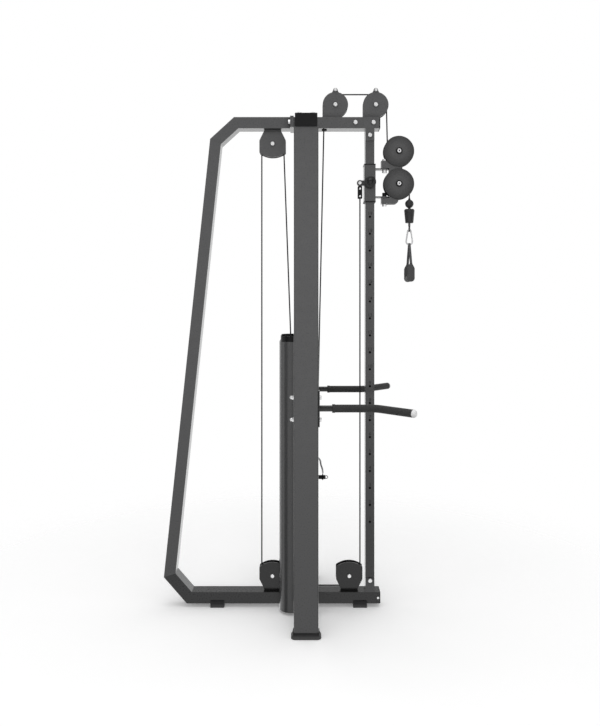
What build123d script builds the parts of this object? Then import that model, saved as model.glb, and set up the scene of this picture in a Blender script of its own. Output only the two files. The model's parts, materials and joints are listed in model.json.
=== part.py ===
"""Single-column adjustable cable machine, built as separate pieces.

Millimetres, +Z up.  +X points to the user, so the user's left is -Y.  The
machine is drawn about the middle of its two posts and moved on saving, so
that its origin is the middle of its footprint, on the floor.
"""
from build123d import *
import math
import os

# Main frame: rectangular tube, 50 high and 70 wide.
TUBE_HEIGHT = 50
TUBE_WIDTH = 70
TUBE_WALL = 3
FLOOR_GAP = 17.5
TOP_EDGE = 2181
REAR_HEEL_X = -530
REAR_LOW_X = -632
REAR_LOW_Z = 134
REAR_HIGH_X = -426
REAR_HIGH_DROP = 97
REAR_SHOULDER_X = -320
FRONT_END_X = 331
JOINT_FLANGE = 8
JOINT_FLANGE_WIDTH = 120
JOINT_X = -62
CAP_THICKNESS = 4
CAP_INSERT = 14
CAP_SCREW_SETBACK = 10
CAP_SCREW_RADIUS = 3
CAP_SCREW_HEAD = 5
CAP_SCREW_HEAD_DEPTH = 2

# Posts, the crossbeam over them and the rails at their feet.
POST_SIZE = 100
POST_DEPTH = 50
POST_SPACING = 624
POST_CORNER = 6
POST_CAP = 6
BOOT_REACH = 11.5
BOOT_EDGE = 2.5
BOOT_HOLLOW = 6.5
BOOT_NECK = 4.5
BOOT_HEIGHT = 22
BOOT_COLLAR = 4
BOOT_FLOOR = 6
CROSSBEAM_WIDTH = 91
CROSSBEAM_HEIGHT = 54
SADDLE = 7
SADDLE_LENGTH = 120
RAIL_WIDTH = 60
RAIL_FLANGE = 6

# Feet under the bottom tube.
FOOT_LENGTH = 62
FOOT_LIP = 12
FOOT_RUBBER = 5
FOOT_REAR_X = -394
FOOT_FRONT_X = 241

# Front upright with its numbered holes.
UPRIGHT_X = 285
UPRIGHT_DEPTH = 40
UPRIGHT_WIDTH = 60
HOLE_COUNT = 21
HOLE_PITCH = 75.5
HOLE_TOP_DROP = 292
HOLE_RADIUS = 5
SOCKET_HEIGHT = 61
SOCKET_BASE = 6
SOCKET_SIDE = 5
SOCKET_BOLT_LIFT = 53
SOCKET_BOLT_DROP = 30.5

# Cable and pulleys.
CABLE_RADIUS = 3
CABLE_BEND = 49
PULLEY_RADIUS = 53
PULLEY_WIDTH = 20
PULLEY_WEB = 8
PULLEY_HUB = 17
GROOVE_GAP = 0.5
BUSH_RADIUS = 10
AXLE_RADIUS = 6
RUNNING_GAP = 0.05
SIDE_GAP = 1.5
BRACKET_PLATE = 5
SHIELD_RECESS = 3
TOP_INNER_X = 132
TOP_FRONT_X = 313
TOP_PULLEY_LIFT = 60
REAR_PULLEY_X = -149
REAR_PULLEY_DROP = 65
FRONT_PULLEY_X = 194
LOW_PULLEY_LIFT = 66.5
STACK_PULLEY_LIFT = 103
ROUND_BRACKET = 57
ROUND_BRACKET_TOES = (29, 18)
KEEPER_LIFT = 65
KEEPER_TAB = 10
KEEPER_RADIUS = 4
KEEPER_HEAD = 6.5
SHIELD_HALF_WIDTH = 59
SHIELD_SHOULDER = 40.5
SHIELD_CROWN = 60
SHIELD_WAIST = 15
SHIELD_NECK = 38
SHIELD_NECK_DROP = 58
SHIELD_BASE = 6
SHIELD_STRIP = 12
GROMMET_FLANGE = 11.5
GROMMET_BODY = 8
GROMMET_BORE = 6
GROMMET_LIP = 4

# Carriage that slides on the front upright.
SLEEVE_LENGTH = 162
SLEEVE_BELOW_PIN = 82
SLEEVE_DEPTH = 50
SLEEVE_WIDTH = 70
SLEEVE_WALL = 3
SLIDE_GAP = 0.4
BUSH_FLANGE = 4
BUSH_PROUD = 1
BUSH_SLEEVE = 22
BOSS_RADIUS = 13
BOSS_LENGTH = 8
PIN_RADIUS = 4.5
PIN_GAP = 0.4
PIN_BACKED_OFF = 0.6
PIN_TRAVEL = 10
KNOB_RADIUS = 25
KNOB_SKIRT = 9
KNOB_DOME = 19
KNOB_NECK = 9
KNOB_STAND_OFF = 3
LUG_RISE = 3
LUG_RADIUS = 14
LUG_THICKNESS = 8
LUG_ARM_HALF = 12
LUG_BOLT = 4
LUG_HEAD = 8
LINK_WIDTH = 20
LINK_PLATE = 4
LINK_GAP = 0.5
LINK_TOP_DROP = 11
LINK_BOTTOM_DROP = 67
LINK_BOLT_DROPS = (23.5, 57)
LINK_HEAD = 5
ARM_THICKNESS = 6
ARM_HALF_WIDTH = 19
ARM_UPPER_RISE = 61
ARM_LOWER_DROP = 64.5
PIVOT_X = 353
PIVOT_BOLT = 6
PIVOT_GAP = 0.5
PIVOT_CAP_RADIUS = 10
PIVOT_CAP_HEIGHT = 18
PIVOT_STUD = 12

# Swivelling pulley block.
SWIVEL_X = 416
SWIVEL_UPPER_RISE = 144
SWIVEL_SPACING = 146
SWIVEL_BACK_X = 337
SWIVEL_ARM_RISE = 101
SWIVEL_ARM_DROP = 92
SWIVEL_SPINE_X = 373
SWIVEL_SPINE_FRONT_X = 432
SWIVEL_TOE_X = 396
SWIVEL_TOE_RADIUS = 18
COVER_RADIUS = 68
COVER_THICKNESS = 9
COVER_EDGE = 4
COVER_HUB = 14
COVER_HUB_HEIGHT = 2.5

# Pull end: stop ball, cone, eye, snap hook and strap handle.
BALL_DROP = 88
BALL_RADIUS = 19
BALL_NECK = 6
CONE_NECK = 5
CONE_LENGTH = 62
CONE_TOP_RADIUS = 23.3
CONE_BOTTOM_RADIUS = 18
EYE_DROP = 27
EYE_RING = 10.5
EYE_WIRE = 3
EYE_SHANK = 5
HOOK_TOP_BEND = 7
HOOK_LENGTH = 45.5
HOOK_BOTTOM_BEND = 14
HOOK_WIRE = 3.5
GATE_WIRE = 3
GATE_GAP = 0.5
GATE_START = 0.1
GATE_END = 0.76
STRAP_LEG_WIDTH = 9
STRAP_THICKNESS = 4
STRAP_EYE_GAP = 1.8
STRAP_PAD_WIDTH = 33
STRAP_LEG_LENGTH = 87
STRAP_PAD_LENGTH = 81
STRAP_SHOULDER = 24
STRAP_SPREAD = 52
GRIP_RADIUS = 15
GRIP_LIFT = 16
GRIP_END_GAP = 0.5

# Weight stack between the posts.
PLATE_COUNT = 18
PLATE_DEPTH = 105
PLATE_LENGTH = 220
PLATE_PITCH = 25
PLATE_SEAM = 0.4
STACK_BOTTOM_Z = 105
HEAD_THICKNESS = 32
ROD_RADIUS = 10
ROD_SPACING = 150
ROD_SEAT = 20
ROD_HOLE_GAP = 1
BUMPER_RADIUS = 20
STEM_RADIUS = 12
STEM_HOLE_GAP = 1
SELECTOR_RADIUS = 5
SELECTOR_GAP = 0.4
SELECTOR_KNOB_X = 88
SELECTOR_KNOB_RADIUS = 9
SELECTOR_KNOB_LENGTH = 15
SELECTOR_COLLAR = 9
SELECTOR_SEAT_GAP = 1
SELECTOR_REACH = 5
YOKE_HALF_WIDTH = 28
YOKE_BASE = 8
YOKE_CROWN = 22
SELECTOR_FLANGE = (13, 5)
SELECTOR_RING = (6, 1.5)
LANYARD_RADIUS = 4
LANYARD_X = 64
LANYARD_TOP_Z = 668
LANYARD_SAG = 16
LANYARD_RUN = 0.45

# Sheet shroud behind the stack.
SHROUD_BACK_X = -117
SHROUD_FRONT_X = 40
SHROUD_HALF_WIDTH = 125
SHROUD_CORNER = 55
SHROUD_SHEET = 2
SHROUD_BOTTOM = 13
SHROUD_TOP = 1186
SHROUD_SEAT_GAP = 0.3
SHROUD_CLEARANCE = 4
TRIM_THICKNESS = 4
TRIM_STEP = 4
TRIM_RISE = 24
TRIM_DEPTH = 40

# Two flared side handles.
HANDLE_Z = 927
HANDLE_TUBE = 12.5
HANDLE_BEND_X = 285
HANDLE_TIP_X = 417
HANDLE_BEND = 60
HANDLE_PLATE = 5
HANDLE_PLATE_HEIGHT = 147
HANDLE_PLATE_MARGIN = 1
HANDLE_BOLT_SPACING = 90
HANDLE_BOLT = 6
GRIP_START_X = 106
GRIP_SLEEVE = 16
GRIP_COLLAR = 17.5
GRIP_COLLAR_LENGTH = 12
PLUG_DOME = 13
PLUG_EDGE = 1

# Fasteners.
HEX_HEAD = 10
HEX_DEPTH = 8
AXLE_HEAD = 9
HANDLE_HEAD = 8
CAP_NUT_RADIUS = 7.5
CAP_NUT_LENGTH = 16
BEAM_BOLT_XS = (220.5, 301)
BEAM_BOLT_DROP = 24
FLANGE_BOLT_Y = 48
STACK_BOLT_OFFSET = 28

# Places worked out from the sizes above.
HALF_TUBE = TUBE_WIDTH / 2
TUBE_TOP = FLOOR_GAP + TUBE_HEIGHT
BEAM_BOTTOM = TOP_EDGE - TUBE_HEIGHT
CROSSBEAM_TOP = BEAM_BOTTOM - SADDLE
CROSSBEAM_BOTTOM = CROSSBEAM_TOP - CROSSBEAM_HEIGHT
CROSSBEAM_LENGTH = POST_SPACING + POST_DEPTH
POST_Y = POST_SPACING / 2
REAR_HIGH_Z = TOP_EDGE - REAR_HIGH_DROP
TOP_INNER = (TOP_INNER_X, TOP_EDGE + TOP_PULLEY_LIFT)
TOP_FRONT = (TOP_FRONT_X, TOP_EDGE + TOP_PULLEY_LIFT)
REAR_TOP = (REAR_PULLEY_X, BEAM_BOTTOM - REAR_PULLEY_DROP)
REAR_BOTTOM = (REAR_PULLEY_X, TUBE_TOP + LOW_PULLEY_LIFT)
FRONT_BOTTOM = (FRONT_PULLEY_X, TUBE_TOP + LOW_PULLEY_LIFT)
PLATE_GAP = PULLEY_WIDTH / 2 + SIDE_GAP
PLATE_OUT = PLATE_GAP + BRACKET_PLATE
CABLE_DOWN_X = FRONT_BOTTOM[0] + CABLE_BEND
PULL_X = SWIVEL_X + CABLE_BEND
STACK_TOP = STACK_BOTTOM_Z + PLATE_COUNT * PLATE_PITCH
HEAD_TOP = STACK_TOP + HEAD_THICKNESS
STACK_PULLEY = (0, HEAD_TOP + STACK_PULLEY_LIFT)
HOLE_TOP = TOP_EDGE - HOLE_TOP_DROP
SLEEVE_BOTTOM = HOLE_TOP - SLEEVE_BELOW_PIN
SLEEVE_TOP = SLEEVE_BOTTOM + SLEEVE_LENGTH
ARM_UPPER_Z = HOLE_TOP + ARM_UPPER_RISE
ARM_LOWER_Z = HOLE_TOP - ARM_LOWER_DROP
SWIVEL_UPPER_Z = HOLE_TOP + SWIVEL_UPPER_RISE
SWIVEL_LOWER_Z = SWIVEL_UPPER_Z - SWIVEL_SPACING
SWIVEL_ARM_TOP = HOLE_TOP + SWIVEL_ARM_RISE
SWIVEL_ARM_BOTTOM = HOLE_TOP - SWIVEL_ARM_DROP
BALL_Z = SWIVEL_LOWER_Z - BALL_DROP
CONE_TOP_Z = BALL_Z - BALL_RADIUS - CONE_NECK
CONE_BOTTOM_Z = CONE_TOP_Z - CONE_LENGTH
EYE_Z = CONE_BOTTOM_Z - EYE_DROP
HOOK_TOP_Z = EYE_Z - EYE_RING
HOOK_BOTTOM_Z = HOOK_TOP_Z - HOOK_LENGTH
HOOK_LOWEST_Z = HOOK_BOTTOM_Z - HOOK_BOTTOM_BEND
STRAP_PAD_TOP_Z = HOOK_LOWEST_Z - STRAP_LEG_LENGTH
STRAP_BOTTOM_Z = STRAP_PAD_TOP_Z - STRAP_PAD_LENGTH
GRIP_Z = STRAP_BOTTOM_Z + GRIP_LIFT
SELECTOR_Z = STACK_TOP + HEAD_THICKNESS / 2
FOREMOST_X = max(SWIVEL_X + COVER_RADIUS, PULL_X + CONE_TOP_RADIUS)
FRAME_MIDDLE = (REAR_LOW_X + FOREMOST_X) / 2
TUBE_MIDDLE = FLOOR_GAP + TUBE_HEIGHT / 2
UP = (Align.CENTER, Align.CENTER, Align.MIN)


def block(x, y, z):
    """Box between two limits along each axis."""
    middle = Pos((x[0] + x[1]) / 2, (y[0] + y[1]) / 2, (z[0] + z[1]) / 2)
    return middle * Box(x[1] - x[0], y[1] - y[0], z[1] - z[0])


def bar_x(radius, x, y, z):
    return Pos(x[0], y, z) * Rot(0, 90, 0) * Cylinder(radius, x[1] - x[0], align=UP)


def bar_y(radius, x, y, z):
    return Pos(x, y[0], z) * Rot(-90, 0, 0) * Cylinder(radius, y[1] - y[0], align=UP)


def bar_z(radius, x, y, z):
    return Pos(x, y, z[0]) * Cylinder(radius, z[1] - z[0], align=UP)


def side_plate(outline, y):
    """Prism from an outline in the X-Z plane, between two Y limits."""
    return Pos(0, y[1], 0) * extrude(Plane.XZ * outline, y[1] - y[0])


def side_polygon(points, y):
    return side_plate(make_face(Polyline(*points, close=True)), y)


def both_sides(piece):
    """The piece and its mirror image across the machine's middle plane."""
    return [piece, mirror(piece, Plane.XZ)]


def hex_bar_y(x, y, z, radius=HEX_HEAD):
    return side_plate(Pos(x, z) * RegularPolygon(radius, 6), y)


def hex_bar_x(x, y, z, radius=HEX_HEAD):
    hexagon = Plane.YZ * Pos(y, z) * RegularPolygon(radius, 6)
    return Pos(x[0], 0, 0) * extrude(hexagon, x[1] - x[0])


def hex_bar_z(x, y, z, radius=HEX_HEAD):
    return Pos(x, y, z[0]) * extrude(RegularPolygon(radius, 6), z[1] - z[0])


def round_head(radius, x, y, z, outward):
    """Low domed bolt head on a face at y, standing out along outward Y."""
    low, high = sorted((y, y + outward * HEX_DEPTH))
    head = bar_y(radius, x, (low, high), z)
    rim = head.faces().sort_by(Axis.Y)[-1 if outward > 0 else 0].edges()
    return chamfer(rim, 1.5)


# ---------------------------------------------------------------- main frame

FRAME_OUTLINE = [
    (FRONT_END_X - CAP_THICKNESS, FLOOR_GAP),
    (REAR_HEEL_X, FLOOR_GAP),
    (REAR_LOW_X, REAR_LOW_Z),
    (REAR_HIGH_X, REAR_HIGH_Z),
    (REAR_SHOULDER_X, TOP_EDGE),
    (JOINT_X - JOINT_FLANGE, TOP_EDGE),
]


def inset(points, distance):
    """Move an open outline sideways into the frame, with mitred corners."""
    lines = []
    for start, end in zip(points, points[1:]):
        along = (Vector(*end) - Vector(*start)).normalized()
        lines.append((Vector(*start) + Vector(along.Y, -along.X) * distance, along))
    moved = [lines[0][0]]
    for (start, along), (other, across) in zip(lines, lines[1:]):
        gap = other - start
        turn = along.X * across.Y - along.Y * across.X
        moved.append(start + along * ((gap.X * across.Y - gap.Y * across.X) / turn))
    last = lines[-1][1]
    moved.append(Vector(*points[-1]) + Vector(last.Y, -last.X) * distance)
    return [(point.X, point.Y) for point in moved]


def frame_tube(index):
    """One mitred tube of the rear frame, counted from the bottom tube."""
    outer, inner = FRAME_OUTLINE, inset(FRAME_OUTLINE, TUBE_HEIGHT)
    skin = inset(FRAME_OUTLINE, TUBE_WALL)
    lining = inset(FRAME_OUTLINE, TUBE_HEIGHT - TUBE_WALL)
    walls = (outer[index], outer[index + 1], inner[index + 1], inner[index])
    bore = (skin[index], skin[index + 1], lining[index + 1], lining[index])
    half = HALF_TUBE - TUBE_WALL
    return side_polygon(walls, (-HALF_TUBE, HALF_TUBE)) - side_polygon(bore, (-half, half))


def straight_tube(x, y, z, wall=TUBE_WALL, along="X"):
    """Rectangular tube, open at both ends, along one axis."""
    shrink = {axis: 0 if axis == along else wall for axis in "XYZ"}
    bore = [
        (limits[0] + shrink[axis], limits[1] - shrink[axis])
        for axis, limits in zip("XYZ", (x, y, z))
    ]
    return block(x, y, z) - block(*bore)


def joint_flange(x):
    half = JOINT_FLANGE_WIDTH / 2
    flange = block(x, (-half, half), (BEAM_BOTTOM, TOP_EDGE))
    middle = (BEAM_BOTTOM + TOP_EDGE) / 2
    for side in (-FLANGE_BOLT_Y, FLANGE_BOLT_Y):
        flange -= bar_x(HANDLE_BOLT, (x[0] - 1, x[1] + 1), side, middle)
    return flange


def lower_frame():
    screw_x = FRONT_END_X - CAP_SCREW_SETBACK
    hole = bar_y(CAP_SCREW_RADIUS, screw_x, (-HALF_TUBE - 1, 0), TUBE_MIDDLE)
    return frame_tube(0) + frame_tube(1) - hole


def rear_mast():
    return frame_tube(2)


def upper_frame():
    tube = frame_tube(3) + frame_tube(4)
    return tube + joint_flange((JOINT_X - JOINT_FLANGE, JOINT_X))


def front_beam():
    span = (JOINT_X + JOINT_FLANGE, FRONT_END_X - CAP_THICKNESS)
    beam = straight_tube(span, (-HALF_TUBE, HALF_TUBE), (BEAM_BOTTOM, TOP_EDGE))
    beam += joint_flange((JOINT_X, JOINT_X + JOINT_FLANGE))
    drop = TOP_INNER[0] - CABLE_BEND
    beam -= bar_z(GROMMET_BODY, drop, 0, (BEAM_BOTTOM - 1, TOP_EDGE + 1))
    for x in BEAM_BOLT_XS:
        beam -= bar_y(AXLE_RADIUS, x, (-50, 50), TOP_EDGE - BEAM_BOLT_DROP)
    return beam


def cap_for_x_tube(end_x, z):
    """Plastic end cap for a frame tube that ends at end_x, facing +X."""
    half = HALF_TUBE
    lid = block((end_x - CAP_THICKNESS, end_x), (-half, half), z)
    lid = fillet(lid.edges().filter_by(Axis.X), 3)
    wall = TUBE_WALL + SLIDE_GAP
    core = block(
        (end_x - CAP_THICKNESS - CAP_INSERT, end_x - CAP_THICKNESS),
        (wall - half, half - wall),
        (z[0] + wall, z[1] - wall),
    )
    return lid + core


def cap_for_crossbeam(side):
    half = CROSSBEAM_WIDTH / 2
    end = CROSSBEAM_LENGTH / 2
    lid = block((-half, half), (end, end + CAP_THICKNESS), (CROSSBEAM_BOTTOM, CROSSBEAM_TOP))
    lid = fillet(lid.edges().filter_by(Axis.Y), 3)
    wall = TUBE_WALL + SLIDE_GAP
    core = block(
        (wall - half, half - wall),
        (end - CAP_INSERT, end),
        (CROSSBEAM_BOTTOM + wall, CROSSBEAM_TOP - wall),
    )
    return lid + core if side > 0 else mirror(lid + core, Plane.XZ)


def tube_end_plugs():
    lower = cap_for_x_tube(FRONT_END_X, (FLOOR_GAP, TUBE_TOP))
    lower -= bar_y(
        CAP_SCREW_RADIUS, FRONT_END_X - CAP_SCREW_SETBACK, (-HALF_TUBE, 0), TUBE_MIDDLE
    )
    upper = cap_for_x_tube(FRONT_END_X, (BEAM_BOTTOM, TOP_EDGE))
    return [lower, upper, cap_for_crossbeam(-1), cap_for_crossbeam(1)]


def saddle_foot(x):
    """Rubber foot that wraps the underside of the bottom tube."""
    half = HALF_TUBE + FOOT_RUBBER
    foot = block(
        (x - FOOT_LENGTH / 2, x + FOOT_LENGTH / 2), (-half, half), (0, FLOOR_GAP + FOOT_LIP)
    )
    foot = fillet(foot.edges().filter_by(Axis.Z), 4)
    return foot - block(
        (x - FOOT_LENGTH, x + FOOT_LENGTH),
        (-HALF_TUBE, HALF_TUBE),
        (FLOOR_GAP, FLOOR_GAP + FOOT_LIP + 1),
    )


def post_outline(reach=0.0):
    """Outline of a post, or of what stands past it by reach on every side."""
    width, depth = POST_SIZE + 2 * reach, POST_DEPTH + 2 * reach
    return RectangleRounded(width, depth, POST_CORNER + reach)


def post_boot(y):
    """Rubber boot round the foot of a post, flared like a bell."""
    collar_z = BOOT_HEIGHT - BOOT_COLLAR
    levels = [
        (BOOT_REACH - BOOT_EDGE, 0), (BOOT_REACH, BOOT_EDGE),
        (BOOT_HOLLOW, (BOOT_EDGE + collar_z) / 2), (BOOT_NECK, collar_z), (BOOT_NECK, BOOT_HEIGHT),
    ]
    bell = loft([Pos(0, y, z) * post_outline(reach) for reach, z in levels], ruled=True)
    inside = Pos(0, y, BOOT_FLOOR) * post_outline()
    rail = RAIL_WIDTH / 2
    notch = block((-rail, rail), sorted((0, y)), (FLOOR_GAP, BOOT_HEIGHT + 1))
    return bell - extrude(inside, BOOT_HEIGHT) - notch


def rubber_feet():
    feet = [saddle_foot(FOOT_REAR_X), saddle_foot(FOOT_FRONT_X)]
    return feet + [post_boot(-POST_Y), post_boot(POST_Y)]


# ------------------------------------------------------- posts and crossbeam

def post(side):
    """Post of flat tube with a welded cap and the holes for its handle and bolts."""
    height = CROSSBEAM_BOTTOM - BOOT_FLOOR
    tube = extrude(post_outline(), height) - extrude(post_outline(-TUBE_WALL), height - POST_CAP)
    tube = Pos(0, side * POST_Y, BOOT_FLOOR) * tube
    for z in handle_bolt_heights():
        tube -= bar_x(HANDLE_BOLT, (-POST_SIZE, POST_SIZE), side * POST_Y, z)
    for x in (-STACK_BOLT_OFFSET, STACK_BOLT_OFFSET):
        tube -= bar_z(AXLE_RADIUS, x, side * POST_Y, (CROSSBEAM_BOTTOM - 20, CROSSBEAM_BOTTOM + 1))
    return tube


def left_post():
    return post(-1)


def right_post():
    return post(1)


def top_crossbeam():
    half_x, half_y = CROSSBEAM_WIDTH / 2, CROSSBEAM_LENGTH / 2
    z = (CROSSBEAM_BOTTOM, CROSSBEAM_TOP)
    beam = straight_tube((-half_x, half_x), (-half_y, half_y), z, along="Y")
    half_saddle = SADDLE_LENGTH / 2
    beam += block((-half_x, half_x), (-half_saddle, half_saddle), (CROSSBEAM_TOP, BEAM_BOTTOM))
    for side in (-1, 1):
        below = (CROSSBEAM_BOTTOM - 1, CROSSBEAM_BOTTOM + ROD_SEAT)
        beam -= bar_z(ROD_RADIUS, 0, side * ROD_SPACING / 2, below)
        for x in (-STACK_BOLT_OFFSET, STACK_BOLT_OFFSET):
            beam -= bar_z(AXLE_RADIUS, x, side * POST_Y, (CROSSBEAM_BOTTOM - 1, CROSSBEAM_TOP + 1))
    return beam


def base_rail():
    """Rail from the bottom tube to one post, flanged at both ends."""
    inner, outer = HALF_TUBE, POST_Y - POST_DEPTH / 2
    half = RAIL_WIDTH / 2
    z = (FLOOR_GAP, TUBE_TOP)
    rail = straight_tube((-half, half), (inner, outer), z, along="Y")
    rail += block((-half, half), (inner, inner + RAIL_FLANGE), z)
    rail += block((-half, half), (outer - RAIL_FLANGE, outer), z)
    return rail - bar_z(ROD_RADIUS, 0, ROD_SPACING / 2, (TUBE_TOP - ROD_SEAT, TUBE_TOP + 1))


def base_rails():
    return both_sides(base_rail())


# ------------------------------------------------------------- front upright

def hole_height(number):
    """Height of a numbered hole; number 1 is the highest."""
    return HOLE_TOP - (number - 1) * HOLE_PITCH


def upright_limits(margin=0.0):
    half_x = UPRIGHT_DEPTH / 2 + margin
    half_y = UPRIGHT_WIDTH / 2 + margin
    return (UPRIGHT_X - half_x, UPRIGHT_X + half_x), (-half_y, half_y)


def front_upright():
    x, y = upright_limits()
    tube = straight_tube(x, y, (TUBE_TOP + SOCKET_BASE, BEAM_BOTTOM - SOCKET_BASE), along="Z")
    outside, inside = y[0] - 1, y[0] + TUBE_WALL + 1
    for number in range(1, HOLE_COUNT + 1):
        tube -= bar_y(HOLE_RADIUS, UPRIGHT_X, (outside, inside), hole_height(number))
    for z in socket_bolt_heights():
        tube -= bar_y(AXLE_RADIUS, UPRIGHT_X, (y[0] - 1, y[1] + 1), z)
    return tube


def socket_bolt_heights():
    return TUBE_TOP + SOCKET_BOLT_LIFT, BEAM_BOTTOM - SOCKET_BOLT_DROP


def upright_socket(base_z, upward):
    """Welded U-shaped socket that holds one end of the upright."""
    x, y = upright_limits()
    height = SOCKET_HEIGHT if upward > 0 else SOCKET_HEIGHT - SOCKET_BASE
    z = sorted((base_z, base_z + upward * height))
    inner = sorted((base_z + upward * SOCKET_BASE, base_z + upward * (height + 1)))
    socket = block(x, (y[0] - SOCKET_SIDE, y[1] + SOCKET_SIDE), z) - block(
        (x[0] - 1, x[1] + 1), y, inner
    )
    bolt_z = socket_bolt_heights()[0 if upward > 0 else 1]
    return socket - bar_y(AXLE_RADIUS, UPRIGHT_X, (-60, 60), bolt_z)


def upright_sockets():
    return [upright_socket(TUBE_TOP, 1), upright_socket(BEAM_BOTTOM, -1)]


# ------------------------------------------------------------------- pulleys

def pulley(centre, half_plane=0.0):
    """Grooved wheel with a thin web and a bored hub, on an axis along Y."""
    half = PULLEY_WIDTH / 2
    groove = CABLE_BEND - CABLE_RADIUS - GROOVE_GAP
    bore = BUSH_RADIUS + RUNNING_GAP
    rim = groove - 6
    web = PULLEY_WEB / 2
    profile = [
        (bore, -half), (PULLEY_HUB, -half), (PULLEY_HUB + 2, -web), (rim - 2, -web),
        (rim, -half), (PULLEY_RADIUS, -half), (groove, -CABLE_RADIUS), (groove, CABLE_RADIUS),
        (PULLEY_RADIUS, half), (rim, half), (rim - 2, web), (PULLEY_HUB + 2, web),
        (PULLEY_HUB, half), (bore, half),
    ]
    wheel = revolve(make_face(Polyline(*profile, close=True)), Axis.Y)
    return Pos(centre[0], half_plane, centre[1]) * wheel


def spaced_axle(centre, reach=PLATE_OUT):
    """Axle bolt with its head and nut, and the bush the pulley turns on."""
    x, z = centre
    bush = bar_y(BUSH_RADIUS, x, (-PLATE_GAP, PLATE_GAP), z)
    bush -= bar_y(AXLE_RADIUS, x, (-PLATE_GAP - 1, PLATE_GAP + 1), z)
    shank = bar_y(AXLE_RADIUS, x, (-reach, reach), z)
    head = round_head(AXLE_HEAD, x, -reach, z, -1)
    nut = hex_bar_y(x, (reach, reach + HEX_DEPTH), z, AXLE_HEAD)
    return [bush, shank + head + nut]


def round_bracket_face(toe):
    """Outline of a top bracket plate about its pulley's centre."""
    foot = TOP_INNER[1] - TOP_EDGE
    face = Sketch() + Circle(ROUND_BRACKET)
    face += Pos((toe - ROUND_BRACKET) / 2, -foot / 2) * Rectangle(ROUND_BRACKET + toe, foot)
    face -= Pos(0, -foot - ROUND_BRACKET / 2) * Rectangle(3 * ROUND_BRACKET, ROUND_BRACKET)
    spread = 1.7 * KEEPER_TAB
    tab = Polyline(
        (-spread, ROUND_BRACKET - 6),
        (-KEEPER_TAB, KEEPER_LIFT),
        (KEEPER_TAB, KEEPER_LIFT),
        (spread, ROUND_BRACKET - 6),
        close=True,
    )
    face += make_face(tab)
    return face + Pos(0, KEEPER_LIFT) * Circle(KEEPER_TAB)


def round_bracket(centre, toe):
    face = round_bracket_face(toe) - Circle(AXLE_RADIUS) - Pos(0, KEEPER_LIFT) * Circle(KEEPER_RADIUS)
    return both_sides(side_plate(Pos(*centre) * face, (PLATE_GAP, PLATE_OUT)))


def shield_face(reach):
    """Outline of a frame bracket plate: crown upwards, neck downwards."""
    crown = [
        Line((-SHIELD_NECK, -reach), (-SHIELD_NECK, -SHIELD_NECK_DROP)),
        Line((-SHIELD_NECK, -SHIELD_NECK_DROP), (-SHIELD_HALF_WIDTH, -SHIELD_WAIST)),
        Line((-SHIELD_HALF_WIDTH, -SHIELD_WAIST), (-SHIELD_HALF_WIDTH, SHIELD_SHOULDER)),
        ThreePointArc(
            (-SHIELD_HALF_WIDTH, SHIELD_SHOULDER), (0, SHIELD_CROWN),
            (SHIELD_HALF_WIDTH, SHIELD_SHOULDER),
        ),
        Line((SHIELD_HALF_WIDTH, SHIELD_SHOULDER), (SHIELD_HALF_WIDTH, -SHIELD_WAIST)),
        Line((SHIELD_HALF_WIDTH, -SHIELD_WAIST), (SHIELD_NECK, -SHIELD_NECK_DROP)),
        Line((SHIELD_NECK, -SHIELD_NECK_DROP), (SHIELD_NECK, -reach)),
        Line((SHIELD_NECK, -reach), (-SHIELD_NECK, -reach)),
    ]
    face = make_face(crown)
    corners = face.vertices().filter_by(lambda v: abs(abs(v.X) - SHIELD_HALF_WIDTH) < 0.01)
    return fillet(corners, 8) - Circle(AXLE_RADIUS)


def shield_bracket(centre, tube_z):
    """Two frame bracket plates, stepped back where their base welds them to a tube."""
    face = shield_face(abs(centre[1] - tube_z))
    away = 1
    if tube_z > centre[1]:
        face = mirror(face, Plane.XZ)
        away = -1
    neck = (centre[0] - SHIELD_NECK, centre[0] + SHIELD_NECK)
    step = PLATE_OUT - SHIELD_RECESS
    base = block(neck, (-step, step), sorted((tube_z, tube_z + away * SHIELD_BASE)))
    plate = side_plate(Pos(*centre) * face, (PLATE_GAP, PLATE_OUT))
    plate -= block(neck, (step, PLATE_OUT), sorted((tube_z, tube_z + away * SHIELD_STRIP)))
    plates = both_sides(plate)
    return [base + plates[0] + plates[1]]


def pulley_brackets():
    plates = round_bracket(TOP_INNER, ROUND_BRACKET_TOES[0])
    plates += round_bracket(TOP_FRONT, ROUND_BRACKET_TOES[1])
    plates += shield_bracket(REAR_BOTTOM, TUBE_TOP)
    plates += shield_bracket(FRONT_BOTTOM, TUBE_TOP)
    return plates + shield_bracket(REAR_TOP, BEAM_BOTTOM)


def pulley_axles():
    pieces = []
    for centre in (TOP_INNER, TOP_FRONT, REAR_TOP, REAR_BOTTOM, FRONT_BOTTOM):
        pieces += spaced_axle(centre)
    for x, z in (TOP_INNER, TOP_FRONT):
        keeper = bar_y(KEEPER_RADIUS, x, (-PLATE_OUT, PLATE_OUT), z + KEEPER_LIFT)
        keeper += round_head(KEEPER_HEAD, x, -PLATE_OUT, z + KEEPER_LIFT, -1)
        nut = (PLATE_OUT, PLATE_OUT + HEX_DEPTH)
        pieces.append(keeper + hex_bar_y(x, nut, z + KEEPER_LIFT, KEEPER_HEAD))
    return pieces


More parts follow.
